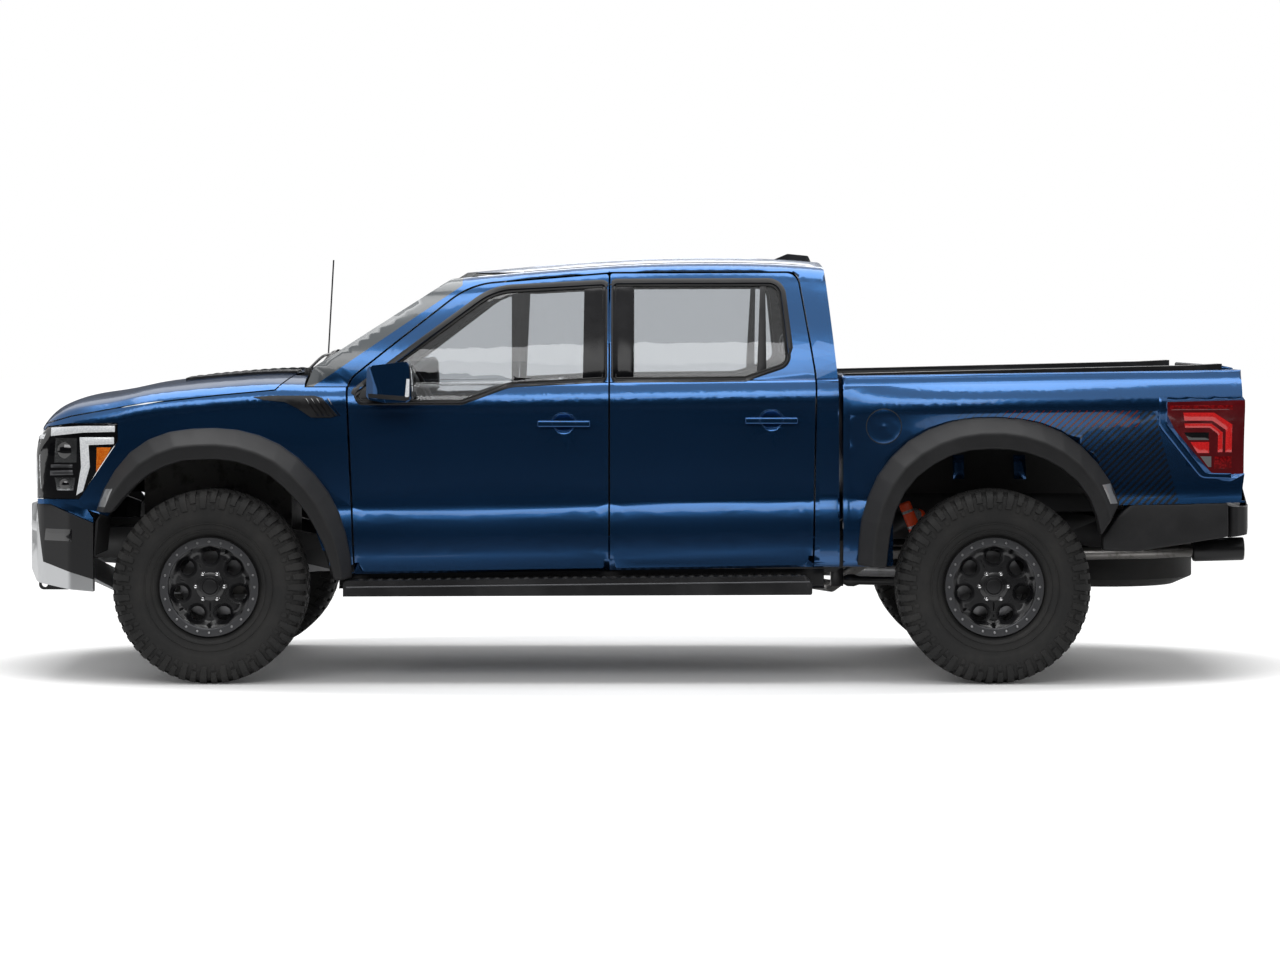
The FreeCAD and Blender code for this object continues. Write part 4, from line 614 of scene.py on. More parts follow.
# Front bumper: bright steel before a line down its side and along its foot, grained black behind
edges = {"faceLean": 0.16, "face": -2.752, "footSlope": 0.306, "foot": -0.304, "half": 0.63}
bumperLook = plastic("bumperTwoTone", (0.017, 0.017, 0.018), 0.5, Specular_IOR_Level=0.3)
x, y, z = bumperLook.axes()
bright = (((x + (z * edges["faceLean"])) < edges["face"]).larger((z + (x * edges["footSlope"])) < edges["foot"])
          * (y.size() > edges["half"]))
bumperLook.put("Base Color", bumperLook.blend(bright, (0.019, 0.019, 0.02), (0.55, 0.56, 0.57)))
bumperLook.put("Metallic", bright.ramp(0, 1, 0.0, 0.9))
bumperLook.put("Roughness", bright.ramp(0, 1, 0.5, 0.36))


print("stage: light and floor")
shot = {"focalPixels": 3702.0, "imageWidth": 1280.0, "horizonRow": 322.0, "middleRow": 480.0,
        "distance": 18.5, "height": 1.706, "sensor": 36.0}
camera = bpy.data.cameras.new("photoCamera")
viewer = bpy.data.objects.new("photoCamera", camera)
scene.collection.objects.link(viewer)
scene.camera = viewer
camera.sensor_width = shot["sensor"]
camera.lens = shot["focalPixels"] / shot["imageWidth"] * shot["sensor"]
camera.shift_y = (shot["horizonRow"] - shot["middleRow"]) / shot["imageWidth"]
viewer.location = (0, -shot["distance"], shot["height"])
viewer.rotation_euler = (math.pi / 2, 0, 0)
for name, place, target, size, power in (("overhead", (0, 0, 6.5), (0, 0, 0), (9, 5), 520),
                                         ("nearSide", (-1.5, -9, 5.5), (0, 0, 0.9), (8, 3), 260),
                                         ("farSide", (2, 9, 5.0), (0, 0, 0.9), (8, 3), 160)):
    light = bpy.data.lights.new(name, "AREA")
    light.shape = "RECTANGLE"
    light.size, light.size_y = size
    light.energy = power
    holder = bpy.data.objects.new(name, light)
    scene.collection.objects.link(holder)
    holder.location = place
    holder.rotation_euler = (Vector(target) - Vector(place)).to_track_quat("-Z", "Y").to_euler()


# 1 for rays that the camera, gloss or glass sees, 0 for diffuse ones
def seenRays(look):
    outputs = look.tree.nodes.new("ShaderNodeLightPath").outputs
    kinds = [Wire(look, outputs[f"Is {kind} Ray"]) for kind in ("Camera", "Glossy", "Transmission")]
    return kinds[0].larger(kinds[1]).larger(kinds[2])


# White for the camera, for gloss and through glass; a plain grey level for diffuse light
world = bpy.data.worlds.new("studio")
scene.world = world
world.use_nodes = True
sky = Shading(world.node_tree, "Background")
sky.put("Color", (1, 1, 1))
sky.put("Strength", sky.make("ShaderNodeMapRange", None, {"Value": seenRays(sky), "To Min": 0.5, "To Max": 1.0}))


def backdrop(name, look, points, faces):
    mesh = bpy.data.meshes.new(name)
    mesh.from_pydata(points, [], faces)
    piece = bpy.data.objects.new(name, mesh)
    scene.collection.objects.link(piece)
    mesh.materials.append(look.material)
    return piece


def card(name, first, second, points, faces):
    look = Look(name, first, 0.9)
    look.put("Base Color", look.blend(look.noise(2.0), first, second))
    piece = backdrop(name, look, points, faces)
    piece.visible_camera = piece.visible_diffuse = piece.visible_shadow = False
    return piece


# The floor glows white away from the truck, also in gloss and through glass, and keeps its shadow beneath
floorLook = Look("paleFloor", (0.9, 0.9, 0.9), 0.9)
x, y, z = floorLook.axes()
away = ((x * x) * 0.085 + (y * y) * 0.30).ramp(0.55, 1.25)
white = floorLook.blend(floorLook.noise(30, 3.0, 0.6), (0.88, 0.88, 0.88), (0.92, 0.92, 0.92))
floorLook.put("Base Color", floorLook.blend(away, white, (0.12, 0.12, 0.12)))
lit = seenRays(floorLook) * away.ramp(0, 1, 0.03, 1.0)
floorLook.glow(floorLook.blend(lit, (0, 0, 0), (1, 1, 1)), 0.97)
floor = backdrop("floor", floorLook, [(-60, -30, 0), (60, -30, 0), (60, 90, 0), (-60, 90, 0)], [(0, 1, 2, 3)])
# Dark studio flag behind the camera and along the floor, which only gloss sees
flag = card("studioFlag", (0.010, 0.010, 0.011), (0.014, 0.014, 0.015),
            [(-34, -25, 0.02), (34, -25, 0.02), (34, -25, 13), (-34, -25, 13), (-9, -3.2, 0.02), (9, -3.2, 0.02)],
            [(0, 1, 2, 3), (0, 4, 5, 1)])
# Pale grey card on the far side, which keeps the roof's edge from melting into the white
greyCard = card("studioCard", (0.28, 0.28, 0.28), (0.32, 0.32, 0.32),
                [(-34, 27, 0.02), (34, 27, 0.02), (34, 27, 11), (-34, 27, 11)], [(3, 2, 1, 0)])
greyCard.visible_transmission = False
scene.view_settings.view_transform = "Standard"


print("stage: body")
# Half-width of the cab's outer form at a height, before the rake: straight lines between its main points
cabSide = {"heights": (0.53, 0.655, 0.802, 1.08, 1.36, 1.418, 1.69, 1.905, 1.958, 1.985, 2.01),
           "halves": (0.965, 0.997, 0.988, 0.984, 0.984, 0.955, 0.862, 0.757, 0.715, 0.62, 0.32),
           "rake": 0.0153}


def depthInside(points):
    height = points[:, 2] - cabSide["rake"] * points[:, 0]
    return np.interp(height, cabSide["heights"], cabSide["halves"]) - np.abs(points[:, 1])


def facingOut(centres, normals):
    return normals[:, 1] * np.sign(centres[:, 1])


# Faces of each node that take its second material: trim in the cab and doors, a black arm on the mirror,
# black behind the fenders, spray inside the bed and on the tailgate
def inCabin(centres, normals):
    x, y, z = centres.T
    within = (x > -1.56) & (x < 0.90) & (z > 0.66) & (z < 1.975) & (depthInside(centres) > 0.035)
    roofSkin = (normals[:, 2] > 0.3) & (z > 1.45)
    return within & ~roofSkin & (normals[:, 0] > -0.6)


def inDoor(centres, normals):
    return (depthInside(centres) > 0.03) & (facingOut(centres, normals) < 0.25)


def onArm(centres, normals):
    return (np.abs(centres[:, 1]) < 1.045) | (normals[:, 0] > 0.85)


def inFender(centres, normals):
    return facingOut(centres, normals) < -0.3


def inBed(centres, normals):
    x, y, z = centres.T
    top = (z > 1.40) & (normals[:, 2] > 0.5)
    front = (x < 0.97) & (normals[:, 0] < -0.5)
    tail = (x > 2.78) & (normals[:, 0] > 0.5)
    return (np.abs(y) < 0.93) & ~top & ~front & ~tail


def inGate(centres, normals):
    return normals[:, 0] < -0.5


for members, slotName, looks, pick in (
        ("cab_shell", "body_paint", [cabPaint, cabinTrim], inCabin),
        ("door_front_left door_rear_left door_front_right door_rear_right", "body_paint", [paint, cabinTrim], inDoor),
        ("mirror_left mirror_right", "black_trim", [paint, satin], onArm), ("hood", "body_paint", paint, None),
        ("front_fenders", "body_paint", [paint, satin], inFender),
        ("cargo_bed", "body_paint", [bedPaint, spray], inBed),
        ("tailgate", "body_paint", [paint, spray], inGate)):
    for node in members.split():
        dress(node, looks, 30, pick)
for members, slotName, look in (
        ("glass_front_left glass_rear_left glass_front_right glass_rear_right", "glass", sideGlass),
        ("fixed_glass", "glass", screenGlass), ("rear_bumper", "black_trim", grained),
        ("bed_rail_caps cowl_panel running_boards aerials grille hood_vents fender_vents", "black_trim", satin),
        ("arch_liners", "black_trim", carpet), ("front_bumper", "black_trim", bumperLook),
        ("dashboard", "black_trim", cabinTrim), ("headlamps", "lamp_clear", gloss),
        ("tail_lamps", "lamp_red", redDark),
        ("ladder_frame front_arms rear_axle tow_receiver recovery_hooks radiator", "frame_steel", chassisBlack),
        ("driveline", "frame_steel", alloy), ("tie_rods", "frame_steel", steel),
        ("engine_block", "frame_steel", iron),
        ("fuel_tank", "frame_steel", satin), ("knuckle_left knuckle_right", "knuckle_iron", iron),
        ("exhaust", "exhaust_steel", pipeSteel), ("skid_plate", "skid_alloy", silver),
        ("spare_wheel", "tyre", tyreLook)):
    for node in members.split():
        dress(node, look)
mould("wheel_flares", grained, 0.007)


print("stage: wheels")
# Tyre: a closed carcass turned about its axle, in (radius, out) pairs; the line that the tread lies on; and its lugs
# as (width, start, stop, slant, rows), long ones alternating with short
tyreShape = {"outer": [(0.219, 0.106, 0.004), (0.238, 0.112, 0.006), (0.262, 0.142, 0.02), (0.330, 0.157, 0.06),
                       (0.392, 0.156, 0.03), (0.428, 0.144, 0.014), (0.443, 0.112, 0.012)],
             "inner": [(0.427, 0.10, 0.02), (0.380, 0.140, 0.02), (0.262, 0.125, 0.01), (0.235, 0.085, 0.004),
                       (0.219, 0.085)],
             "line": [(0.443, -0.02), (0.443, 0.112, 0.02), (0.428, 0.146, 0.02), (0.392, 0.157, 0.04),
                      (0.330, 0.158, 0.05), (0.262, 0.142)],
             "pitches": 54, "depth": 0.0138, "wallDepth": 0.0045, "root": -0.002, "draw": 0.86,
             "fall": ([0, 0.35, 0.62, 1.0], [1.0, 1.0, 0.78, 0.55]), "beads": ((0.300, 0.1555), (0.268, 0.1475))}
right = tyreShape["outer"] + [(r, -u, *rest) for r, u, *rest in tyreShape["outer"][::-1]]
hollow = [(r, -u, *rest) for r, u, *rest in tyreShape["inner"][::-1]] + tyreShape["inner"]
tyreForm = turned(rounded(right + hollow, 5), 128)
skinLine = rounded(tyreShape["line"], 8)
runs = np.concatenate([[0], np.cumsum(np.linalg.norm(np.diff(skinLine, axis=0), axis=1))]) + tyreShape["line"][0][1]
tangent = np.gradient(skinLine, runs, axis=0)
tangent /= np.linalg.norm(tangent, axis=1, keepdims=True)


# A place on the tyre: turn about the axle, distance from the tread's middle and height above the carcass
def onTyre(turn, across, high):
    run = np.abs(across)
    radius, out, radiusWay, outWay = [np.interp(run, runs, line) for line in (*skinLine.T, *tangent.T)]
    radius = radius + high * outWay
    out = (out - high * radiusWay) * np.where(across < 0, -1.0, 1.0)
    return np.stack([radius * np.cos(turn), out, radius * np.sin(turn)], -1)


# Lug: a bar between two distances across, its sides drawn in to the top, its ends sloped
def lug(middle, width, start, stop, slant, rows, depth, fall=None, notch=0.0):
    end = 0.002 * np.sign(stop - start)
    across = np.concatenate([[start], np.linspace(start + end, stop - end, rows), [stop]])
    share = (across - start) / (stop - start)
    top = depth * (np.interp(share, *fall) if fall else np.ones(len(across)))
    top[[0, -1]] = tyreShape["root"]
    foot = np.full(len(across), tyreShape["root"])
    half = width / 2 * (1 - notch * (np.sin(share * math.pi * 3) > 0.5))
    draw = np.array([1.0, tyreShape["draw"], -tyreShape["draw"], -1.0])
    turn = middle + (draw[None] * half[:, None] + slant * (share[:, None] - 0.5)) / 0.45
    grid = onTyre(turn, np.broadcast_to(across[:, None], turn.shape), np.stack([foot, top, top, foot], -1))
    return Form().sheet(grid if stop > start else grid[:, ::-1], loopV=True, caps=True)


pitch = 2 * math.pi / tyreShape["pitches"]
depth = tyreShape["depth"]
for index in range(tyreShape["pitches"]):
    for side in (1, -1):
        middle = (index + (0.5 if side < 0 else 0.0)) * pitch
        width, end = (0.037, 0.205) if index % 2 == 0 else (0.032, 0.178)
        tyreForm.join(lug(middle, width, 0.088 * side, end * side, 0.006 * side, 8, depth, tyreShape["fall"], 0.12))
        tyreForm.join(lug(middle + pitch * 0.42, 0.036, 0.046 * side, 0.082 * side, 0.012 * side, 2, depth))
        tyreForm.join(lug(middle + pitch * 0.12, 0.030, 0.005 * side, 0.040 * side, -0.012 * side, 2, depth))
# small blocks low on the wall, under every second lug, and two raised bead lines
for index in range(1, tyreShape["pitches"], 2):
    for side in (1, -1):
        tyreForm.join(lug((index + (0.5 if side < 0 else 0.0)) * pitch, 0.022, 0.186 * side, 0.212 * side, 0, 3,
                          tyreShape["wallDepth"]))
for bead in tyreShape["beads"]:
    for side in (1, -1):
        tyreForm.join(turned(ring(0.0022, 6) + bead, 96).placed((0, 0, 0), side))

# Wheel: barrel and clamp ring, dished face in seven parts round bevelled holes, cap, nuts and bolts,
# brake disc and its hub, all in (radius, out) pairs
wheelShape = {"holes": 7, "holeCircle": 0.142, "bevelRadius": 0.0485, "holeRadius": 0.0345, "inner": 0.064,
              "outer": 0.1955, "bolts": (24, 0.2145), "nuts": (6, 0.0675), "dish": 0.081, "rise": 0.027}
barrel = turned(rounded([(0.2353, 0.1085), (0.2353, 0.127, 0.004), (0.2325, 0.1315), (0.1985, 0.1315, 0.003),
                         (0.1945, 0.127), (0.1945, 0.106, 0.004), (0.206, 0.09), (0.206, -0.098), (0.223, -0.104),
                         (0.2353, -0.117), (0.2353, -0.1085), (0.219, -0.1), (0.2185, 0.1)], 3), 112)


# Depth of the face at a distance from the axle: flat inside, rising to the ring
def faceOut(radius):
    share = np.clip((radius - 0.166) / 0.028, 0, 1)
    return wheelShape["dish"] + wheelShape["rise"] * share * share * (3 - 2 * share)


# One part of the face: its outline in each direction from the hole's middle is the nearest of its two straight sides
# and its inner and outer arcs, and its rows go from there over the front, down the hole and back behind
def facePart(index):
    far = 9.0
    sector = 2 * math.pi / wheelShape["holes"]
    way = roundSteps(56)
    hole = np.array([wheelShape["holeCircle"], 0.0])
    slope = math.tan(sector / 2)
    edge = np.full(len(way), far)
    for sign in (1, -1):
        rate = way[:, 1] * sign - way[:, 0] * slope
        edge = np.minimum(edge, np.where(rate > 1e-6, hole[0] * slope / np.maximum(rate, 1e-6), far))
    for radius, sign in ((wheelShape["outer"], 1), (wheelShape["inner"], -1)):
        half = way @ hole
        under = half ** 2 - hole @ hole + radius ** 2
        reach = np.where(under > 0, -half + sign * np.sqrt(np.maximum(under, 0)), far)
        edge = np.minimum(edge, np.where(reach > 0.001, reach, far))
    bevel, small = wheelShape["bevelRadius"], wheelShape["holeRadius"]
    middle = math.pi / 2 + sector * index
    cos, sin = math.cos(middle), math.sin(middle)
    rows = []
    for run, sink in ((edge, 0), ((edge + bevel + 0.002) / 2, 0), (bevel + 0.002, 0), (bevel, 0.0015),
                      (small + 0.002, 0.013), (small, 0.015), (small, 0.032), (edge, 0.034)):
        flat = hole + way * np.minimum(run, edge)[:, None]
        out = faceOut(np.hypot(flat[:, 0], flat[:, 1])) - sink
        rows.append(np.stack([flat[:, 0] * cos - flat[:, 1] * sin, out, flat[:, 0] * sin + flat[:, 1] * cos], -1))
    return Form().sheet(np.stack(rows), loopU=True, loopV=True)


def circled(countAndRadius, profile, count):
    made = Form()
    for cos, sin in roundSteps(countAndRadius[0]) * countAndRadius[1]:
        made.join(turned(profile, count, "y", (cos, 0, sin)))
    return made


face = Form()
for index in range(wheelShape["holes"]):
    face.join(facePart(index))
face.join(turned(rounded([(0.0375, 0.060), (0.067, 0.060), (0.067, 0.0845, 0.002), (0.047, 0.0865),
                          (0.045, 0.092, 0.002), (0.0375, 0.092)], 3), 48))
cap = turned(rounded([(0.0, 0.0965), (0.033, 0.0955, 0.004), (0.037, 0.089), (0.037, 0.07), (0.0, 0.07)], 4), 40)
nuts = circled(wheelShape["nuts"], rounded([(0.0, 0.1015), (0.0075, 0.1005, 0.002), (0.0098, 0.095), (0.0098, 0.083),
                                            (0.0125, 0.081), (0.0, 0.081)], 3), 6)
bolts = circled(wheelShape["bolts"], [(0.0, 0.1352), (0.0042, 0.135), (0.0058, 0.1335), (0.0068, 0.131),
                                      (0.0, 0.131)], 10)
discForm = turned([(0.05, -0.05), (0.158, -0.05), (0.16, -0.052), (0.16, -0.0585), (0.15, -0.0585), (0.15, -0.0655),
                   (0.16, -0.0655), (0.16, -0.072), (0.158, -0.074), (0.05, -0.074)], 72)
discForm.join(turned([(0.0, -0.012), (0.082, -0.012), (0.085, -0.016), (0.085, -0.05), (0.036, -0.05), (0.036, -0.02),
                      (0.0, -0.02)], 48))
for place, x in (("front", -2.030), ("rear", 1.670)):
    for side, way in sides:
        wheel = f"{place}_{side}"
        for name, form, slotName, look, angle, node in (
                (f"tyre_{wheel}_tread", tyreForm, "tyre", tyreLook, 38, f"tyre_{wheel}"),
                (f"rim_{wheel}_barrel", barrel, "rim_dark", ringGrey, 32, f"rim_{wheel}"),
                (f"rim_{wheel}_face", face, "rim_dark", faceBlack, 30, None),
                (f"rim_{wheel}_cap", cap, "rim_dark", satin, 30, None),
                (f"rim_{wheel}_nuts", nuts, "rim_dark", brightBolt, 30, None),
                (f"rim_{wheel}_bolts", bolts, "rim_dark", steel, 30, None),
                (f"disc_{wheel}", discForm, "rim_dark", disc, 30, None)):
            piece = form.placed((x, 0.935 * way, 0.457), way).build(name, "wheel_" + wheel, slotName, look, angle)
            if node:
                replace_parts(piece, node)


print("stage: trim")
doorTree = treeOf("door_front_left", "door_rear_left", "glass_front_left", "glass_rear_left", "cab_shell")
bodyTree = treeOf("door_front_left", "door_rear_left", "cab_shell", "front_fenders", "hood", "cargo_bed", "headlamps",
                  "tail_lamps", "tailgate")
frontTree = treeOf("front_bumper", "grille", "headlamps", "hood")

# Windows: a trim round each opening, wider along its top, and a raised weather strip at the glass
windows = {"front": [(-1.330, 1.323, 0.03), (-0.845, 1.323, 0.06), (-0.620, 1.406, 0.2), (-0.165, 1.430, 0.02),
                     (-0.165, 1.886, 0.02), (-0.700, 1.858, 0.3), (-1.352, 1.370, 0.03)],
           "rear": [(-0.128, 1.428, 0.02), (0.500, 1.434, 0.06), (0.712, 1.505, 0.06), (0.668, 1.893, 0.06),
                    (-0.128, 1.890, 0.02)]}
for place, corners in windows.items():
    line = closedSpread(rounded(corners, 8), 0.03)
    edge = offset(line, 0.01) - line
    rise = np.clip(edge[:, 1] / (np.linalg.norm(edge, axis=1) + 1e-9), -1, 1)
    wide = offset(line, (0.010 + 0.014 * (rise > 0.1))[:, None])
    narrow = offset(line, -0.012)
    bothSides(loopSkin(doorTree, wide, narrow, 0.004, 6), f"window_trim_{place}", "black_trim", satin, place)
    bothSides(carried(onSurface(doorTree, narrow, 0.003), ring(0.004, 6), (0, 1, 0), True), f"window_seal_{place}",
              "black_trim", seal, place)

# Mirror sail, gloss panels on the pillar between the doors and the divider of the rear window
for name, first, second, lift, across, look, pair in (
        ("mirror_sail", [(-1.335, 1.335), (-1.20, 1.335)], [(-1.348, 1.372), (-1.20, 1.475)], 0.006, 8,
         grained, "front"),
        ("pillar_gloss_front", [(-0.271, 1.438), (-0.2665, 1.872)], [(-0.158, 1.444), (-0.158, 1.884)], 0.006, 6,
         pillarBlack, "front"),
        ("pillar_gloss_rear", [(-0.134, 1.444), (-0.134, 1.884)], [(-0.030, 1.445), (-0.030, 1.884)], 0.006, 6,
         pillarBlack, "rear"),
        ("quarter_divider", [(0.555, 1.452), (0.575, 1.885)], [(0.600, 1.474), (0.600, 1.885)], 0.006, 5,
         satin, "rear")):
    bothSides(skin(doorTree, first, second, lift, across), name, "black_trim", look, pair)

# Handles: the edge of the scoop behind each
for place, rear in (("front", -0.236), ("rear", 0.747)):
    middle = np.array((rear - 0.125, 1.236 + cabSide["rake"] * rear))
    scoop = middle + roundSteps(40) * (0.058, 0.046)
    bothSides(loopSkin(doorTree, scoop, scoop * 0.94 + middle * 0.06, 0.0012, 5), f"handle_scoop_{place}",
              "body_paint", paint, place)

# Vents on the hood: slats in a dark frame, and fins in the wing vents
ventTree = treeOf("hood_vents", "hood")
slats = Form()
for x in -2.17 + np.arange(11) * 0.048:
    slats.join(panel(ventTree, (x, x + 0.03, -0.545, -0.345), 0.0035, 4, 0.03, "down", True))
bothSides(slats, "hood_slats", "black_trim", grained, "hood", 30)
wingTree = treeOf("fender_vents", "front_fenders")
fins = Form()
for slide in np.arange(5) * 0.0135 * 1.9:
    fins.join(skin(wingTree, [(-1.585 + slide, 1.345), (-1.525 + slide, 1.262)],
                   [(-1.578 + slide, 1.345), (-1.518 + slide, 1.262)], 0.006, 3))
bothSides(fins, "wing_vent_fins", "black_trim", gloss)

# Wipers parked along the foot of the screen: a blade over its rubber, a bent arm and a turned pivot
glassTree = treeOf("fixed_glass", "cowl_panel", "hood")
wipers = Form()
for foot, tip in ((-0.62, 0.02), (-0.02, 0.60)):
    run = np.linspace(0, 1, 14)
    spots = np.stack([-1.505 - 0.018 * run, foot + (tip - foot) * run], -1)
    lie = onSurface(glassTree, spots, 0.016, "down")
    wipers.join(carried(lie, ring(0.0065, 8, 1.6), (0, 0, 1)))
    wipers.join(carried(onSurface(glassTree, spots, 0.005, "down"), ring(0.003, 6), (0, 0, 1)))
    pivot = onSurface(glassTree, [(-1.60, foot - 0.02)], 0.012, "down")[0]
    wipers.join(carried(flowing([pivot, pivot * 0.5 + lie[2] * 0.5 + (0, 0, 0.02), lie[5] + (0, 0, 0.006)], 12),
                        ring(0.007, 8), (0, 0, 1)))
    knob = [(0.0, 0.012), (0.014, 0.01), (0.018, 0.0), (0.018, -0.02), (0.0, -0.02)]
    wipers.join(turned(knob, 20, "z").placed(pivot))
wipers.build("wipers", "chassis", "black_trim", satin)

# Fuel flap: a round lid with a fine gap round it
flap = {"middle": (1.153, 1.212), "gap": (0.0845, 0.0805), "lid": (0.080, 0.002)}
for name, lift, across, slotName, look in (("gap", 0.0006, 3, "black_trim", seal),
                                           ("lid", 0.0022, 8, "body_paint", paint)):
    wide, narrow = [flap["middle"] + roundSteps(64) * radius for radius in flap[name]]
    loopSkin(bodyTree, wide, narrow, lift, across).build("fuel_flap_" + name, "chassis", slotName, look, 40)


print("stage: lamps")
# Lamp parts on the sides: the outline's first half is one line of the skin, and its second half the other
headTree = treeOf("headlamps")
tailTree = treeOf("tail_lamps")
for tree, slotName, parts in (
        # head lamp: white bar and bracket-shaped light, amber corner, bowls and blades
        (headTree, "lamp_clear", (
            ("lamp_bar", 0.003, whiteLight, [(-2.795, 1.205), (-2.640, 1.214), (-2.486, 1.214),
                                             (-2.486, 1.186), (-2.640, 1.182), (-2.795, 1.165)]),
            ("lamp_hook_top", 0.004, whiteLight, [(-2.655, 1.160), (-2.490, 1.160),
                                                  (-2.490, 1.128), (-2.640, 1.122)]),
            ("lamp_hook", 0.004, whiteLight, [(-2.655, 1.158), (-2.648, 1.02), (-2.672, 0.885),
                                              (-2.640, 0.905), (-2.606, 1.02), (-2.612, 1.124)]),
            ("lamp_amber", 0.003, amber, [(-2.572, 1.112), (-2.576, 0.996), (-2.556, 0.998), (-2.504, 1.112)]),
            ("lamp_bowl_high", 0.002, reflector, [(-2.772, 1.156), (-2.668, 1.156),
                                                  (-2.670, 1.040), (-2.778, 1.040)]),
            ("lamp_bowl_low", 0.002, reflector, [(-2.778, 0.968), (-2.676, 0.968), (-2.686, 0.908), (-2.765, 0.908)]),
            ("lamp_blade", 0.006, ringGrey, [(-2.800, 1.000), (-2.690, 1.004), (-2.686, 0.982), (-2.800, 0.978)]),
            ("lamp_blade_high", 0.005, ringGrey, [(-2.796, 1.030), (-2.690, 1.030),
                                                  (-2.690, 1.016), (-2.796, 1.016)]))),
        # tail lamp: a dark red block with two bright bands that bend down at the corner, smoked parts between
        (tailTree, "lamp_red", (
            ("tail_top", 0.002, redLens, [(2.500, 1.311), (2.800, 1.314), (2.800, 1.292), (2.504, 1.290)]),
            ("tail_band_outer", 0.004, redBright, [(2.566, 1.278), (2.712, 1.278), (2.800, 1.222), (2.800, 1.090),
                                                   (2.770, 1.090), (2.770, 1.196), (2.705, 1.240), (2.573, 1.240)]),
            ("tail_band_inner", 0.004, redBright, [(2.573, 1.226), (2.700, 1.226), (2.756, 1.184), (2.756, 1.090),
                                                   (2.734, 1.090), (2.734, 1.176), (2.694, 1.206), (2.577, 1.206)]),
            ("tail_smoke", 0.002, gloss, [(2.572, 1.184), (2.690, 1.184), (2.690, 1.148), (2.596, 1.148)]),
            ("tail_block", 0.004, redBright, [(2.604, 1.138), (2.693, 1.138), (2.693, 1.086), (2.638, 1.086)]),
            ("tail_reverse", 0.002, greyLens, [(2.652, 1.070), (2.704, 1.070), (2.704, 1.020), (2.690, 1.020)]),
            ("tail_corner", 0.003, redLens, [(2.717, 1.070), (2.800, 1.070), (2.800, 1.012), (2.717, 1.012)])))):
    for name, lift, look, points in parts:
        half = len(points) // 2
        bothSides(skin(tree, points[:half], points[half:][::-1], lift, 5, 0.012), name, slotName, look)
eyes = Form()
for x, z, radius in ((-2.722, 1.098, 0.040), (-2.726, 0.938, 0.026)):
    profile = rounded([(0.0, 0.012), (radius * 0.6, 0.009), (radius, 0.0), (radius, -0.02), (0.0, -0.02)], 3)
    eyes.join(turned(profile, 36).placed(onSurface(headTree, [(x, z)])[0], -1))
bothSides(eyes, "lamp_eyes", "lamp_clear", gloss)

# Ends of the lamps, seen from ahead and astern: bars, bowls and a blade; a bright bracket and a clear lamp
for tree, ray, slotName, lift, parts in (
        (headTree, "ahead", "lamp_clear", 0.003, (
            ("lamp_front_bar", whiteLight, (-0.915, -0.640, 1.150, 1.176)),
            ("lamp_front_hook", whiteLight, (-0.905, -0.868, 0.915, 1.130)),
            ("lamp_front_high", reflector, (-0.835, -0.690, 1.035, 1.120)),
            ("lamp_front_low", reflector, (-0.835, -0.690, 0.915, 0.990)),
            ("lamp_front_blade", ringGrey, (-0.850, -0.655, 1.000, 1.022)))),
        (tailTree, "astern", "lamp_red", 0.002, (
            ("tail_rear_upright", redBright, (-0.955, -0.925, 1.085, 1.270)),
            ("tail_rear_top", redBright, (-0.955, -0.870, 1.250, 1.280)),
            ("tail_rear_clear", greyLens, (-0.950, -0.880, 1.015, 1.065))))):
    for name, look, box in parts:
        bothSides(panel(tree, box, lift, 5, 0.02, ray), name, slotName, look)

# Body-colour ridges: round the tail lamp, down the bed's front corner and down the cab's rear corner
ridge = [rounded([(2.452, 1.352), (2.452, 1.212, 0.05), (2.655, 0.966, 0.05), (2.798, 0.962)], 7),
         rounded([(2.490, 1.348), (2.490, 1.224, 0.05), (2.680, 0.992, 0.05), (2.798, 0.990)], 7)]
bedSide = treeOf("cargo_bed", "tail_lamps")
cabTree = treeOf("cab_shell")
for name, form in (("tail_lamp_ridge", skin(bedSide, *ridge, 0.005, 7, 0.012)),
                   ("bed_front_corner", panel(bedSide, (0.957, 0.992, 0.62, 1.385), 0.0015, 5, upright=True)),
                   ("cab_rear_corner", panel(cabTree, (0.850, 0.936, 0.56, 1.395), 0.0015, 6, upright=True))):
    bothSides(form, name, "body_paint", paint, angle=60)

# Marker lamps on the arch mouldings
flareTree = treeOf("wheel_flares")
for name, first, second in (("marker_front", [(-2.535, 0.916), (-2.483, 0.921)], [(-2.558, 0.835), (-2.516, 0.835)]),
                            ("marker_rear", [(2.177, 0.939), (2.220, 0.944)], [(2.215, 0.850), (2.253, 0.850)])):
    bothSides(skin(flareTree, first, second, 0.004, 5, 0.01), name, "lamp_clear", greyLens)


print("stage: ends")
# Joined panels over the front, from above or on the cab: (box, points across) each
def panels(tree, boxes, lift, step, ray, upright=False):
    made = Form()
    for box, across in boxes:
        made.join(panel(tree, box, lift, across, step, ray, upright))
    return made


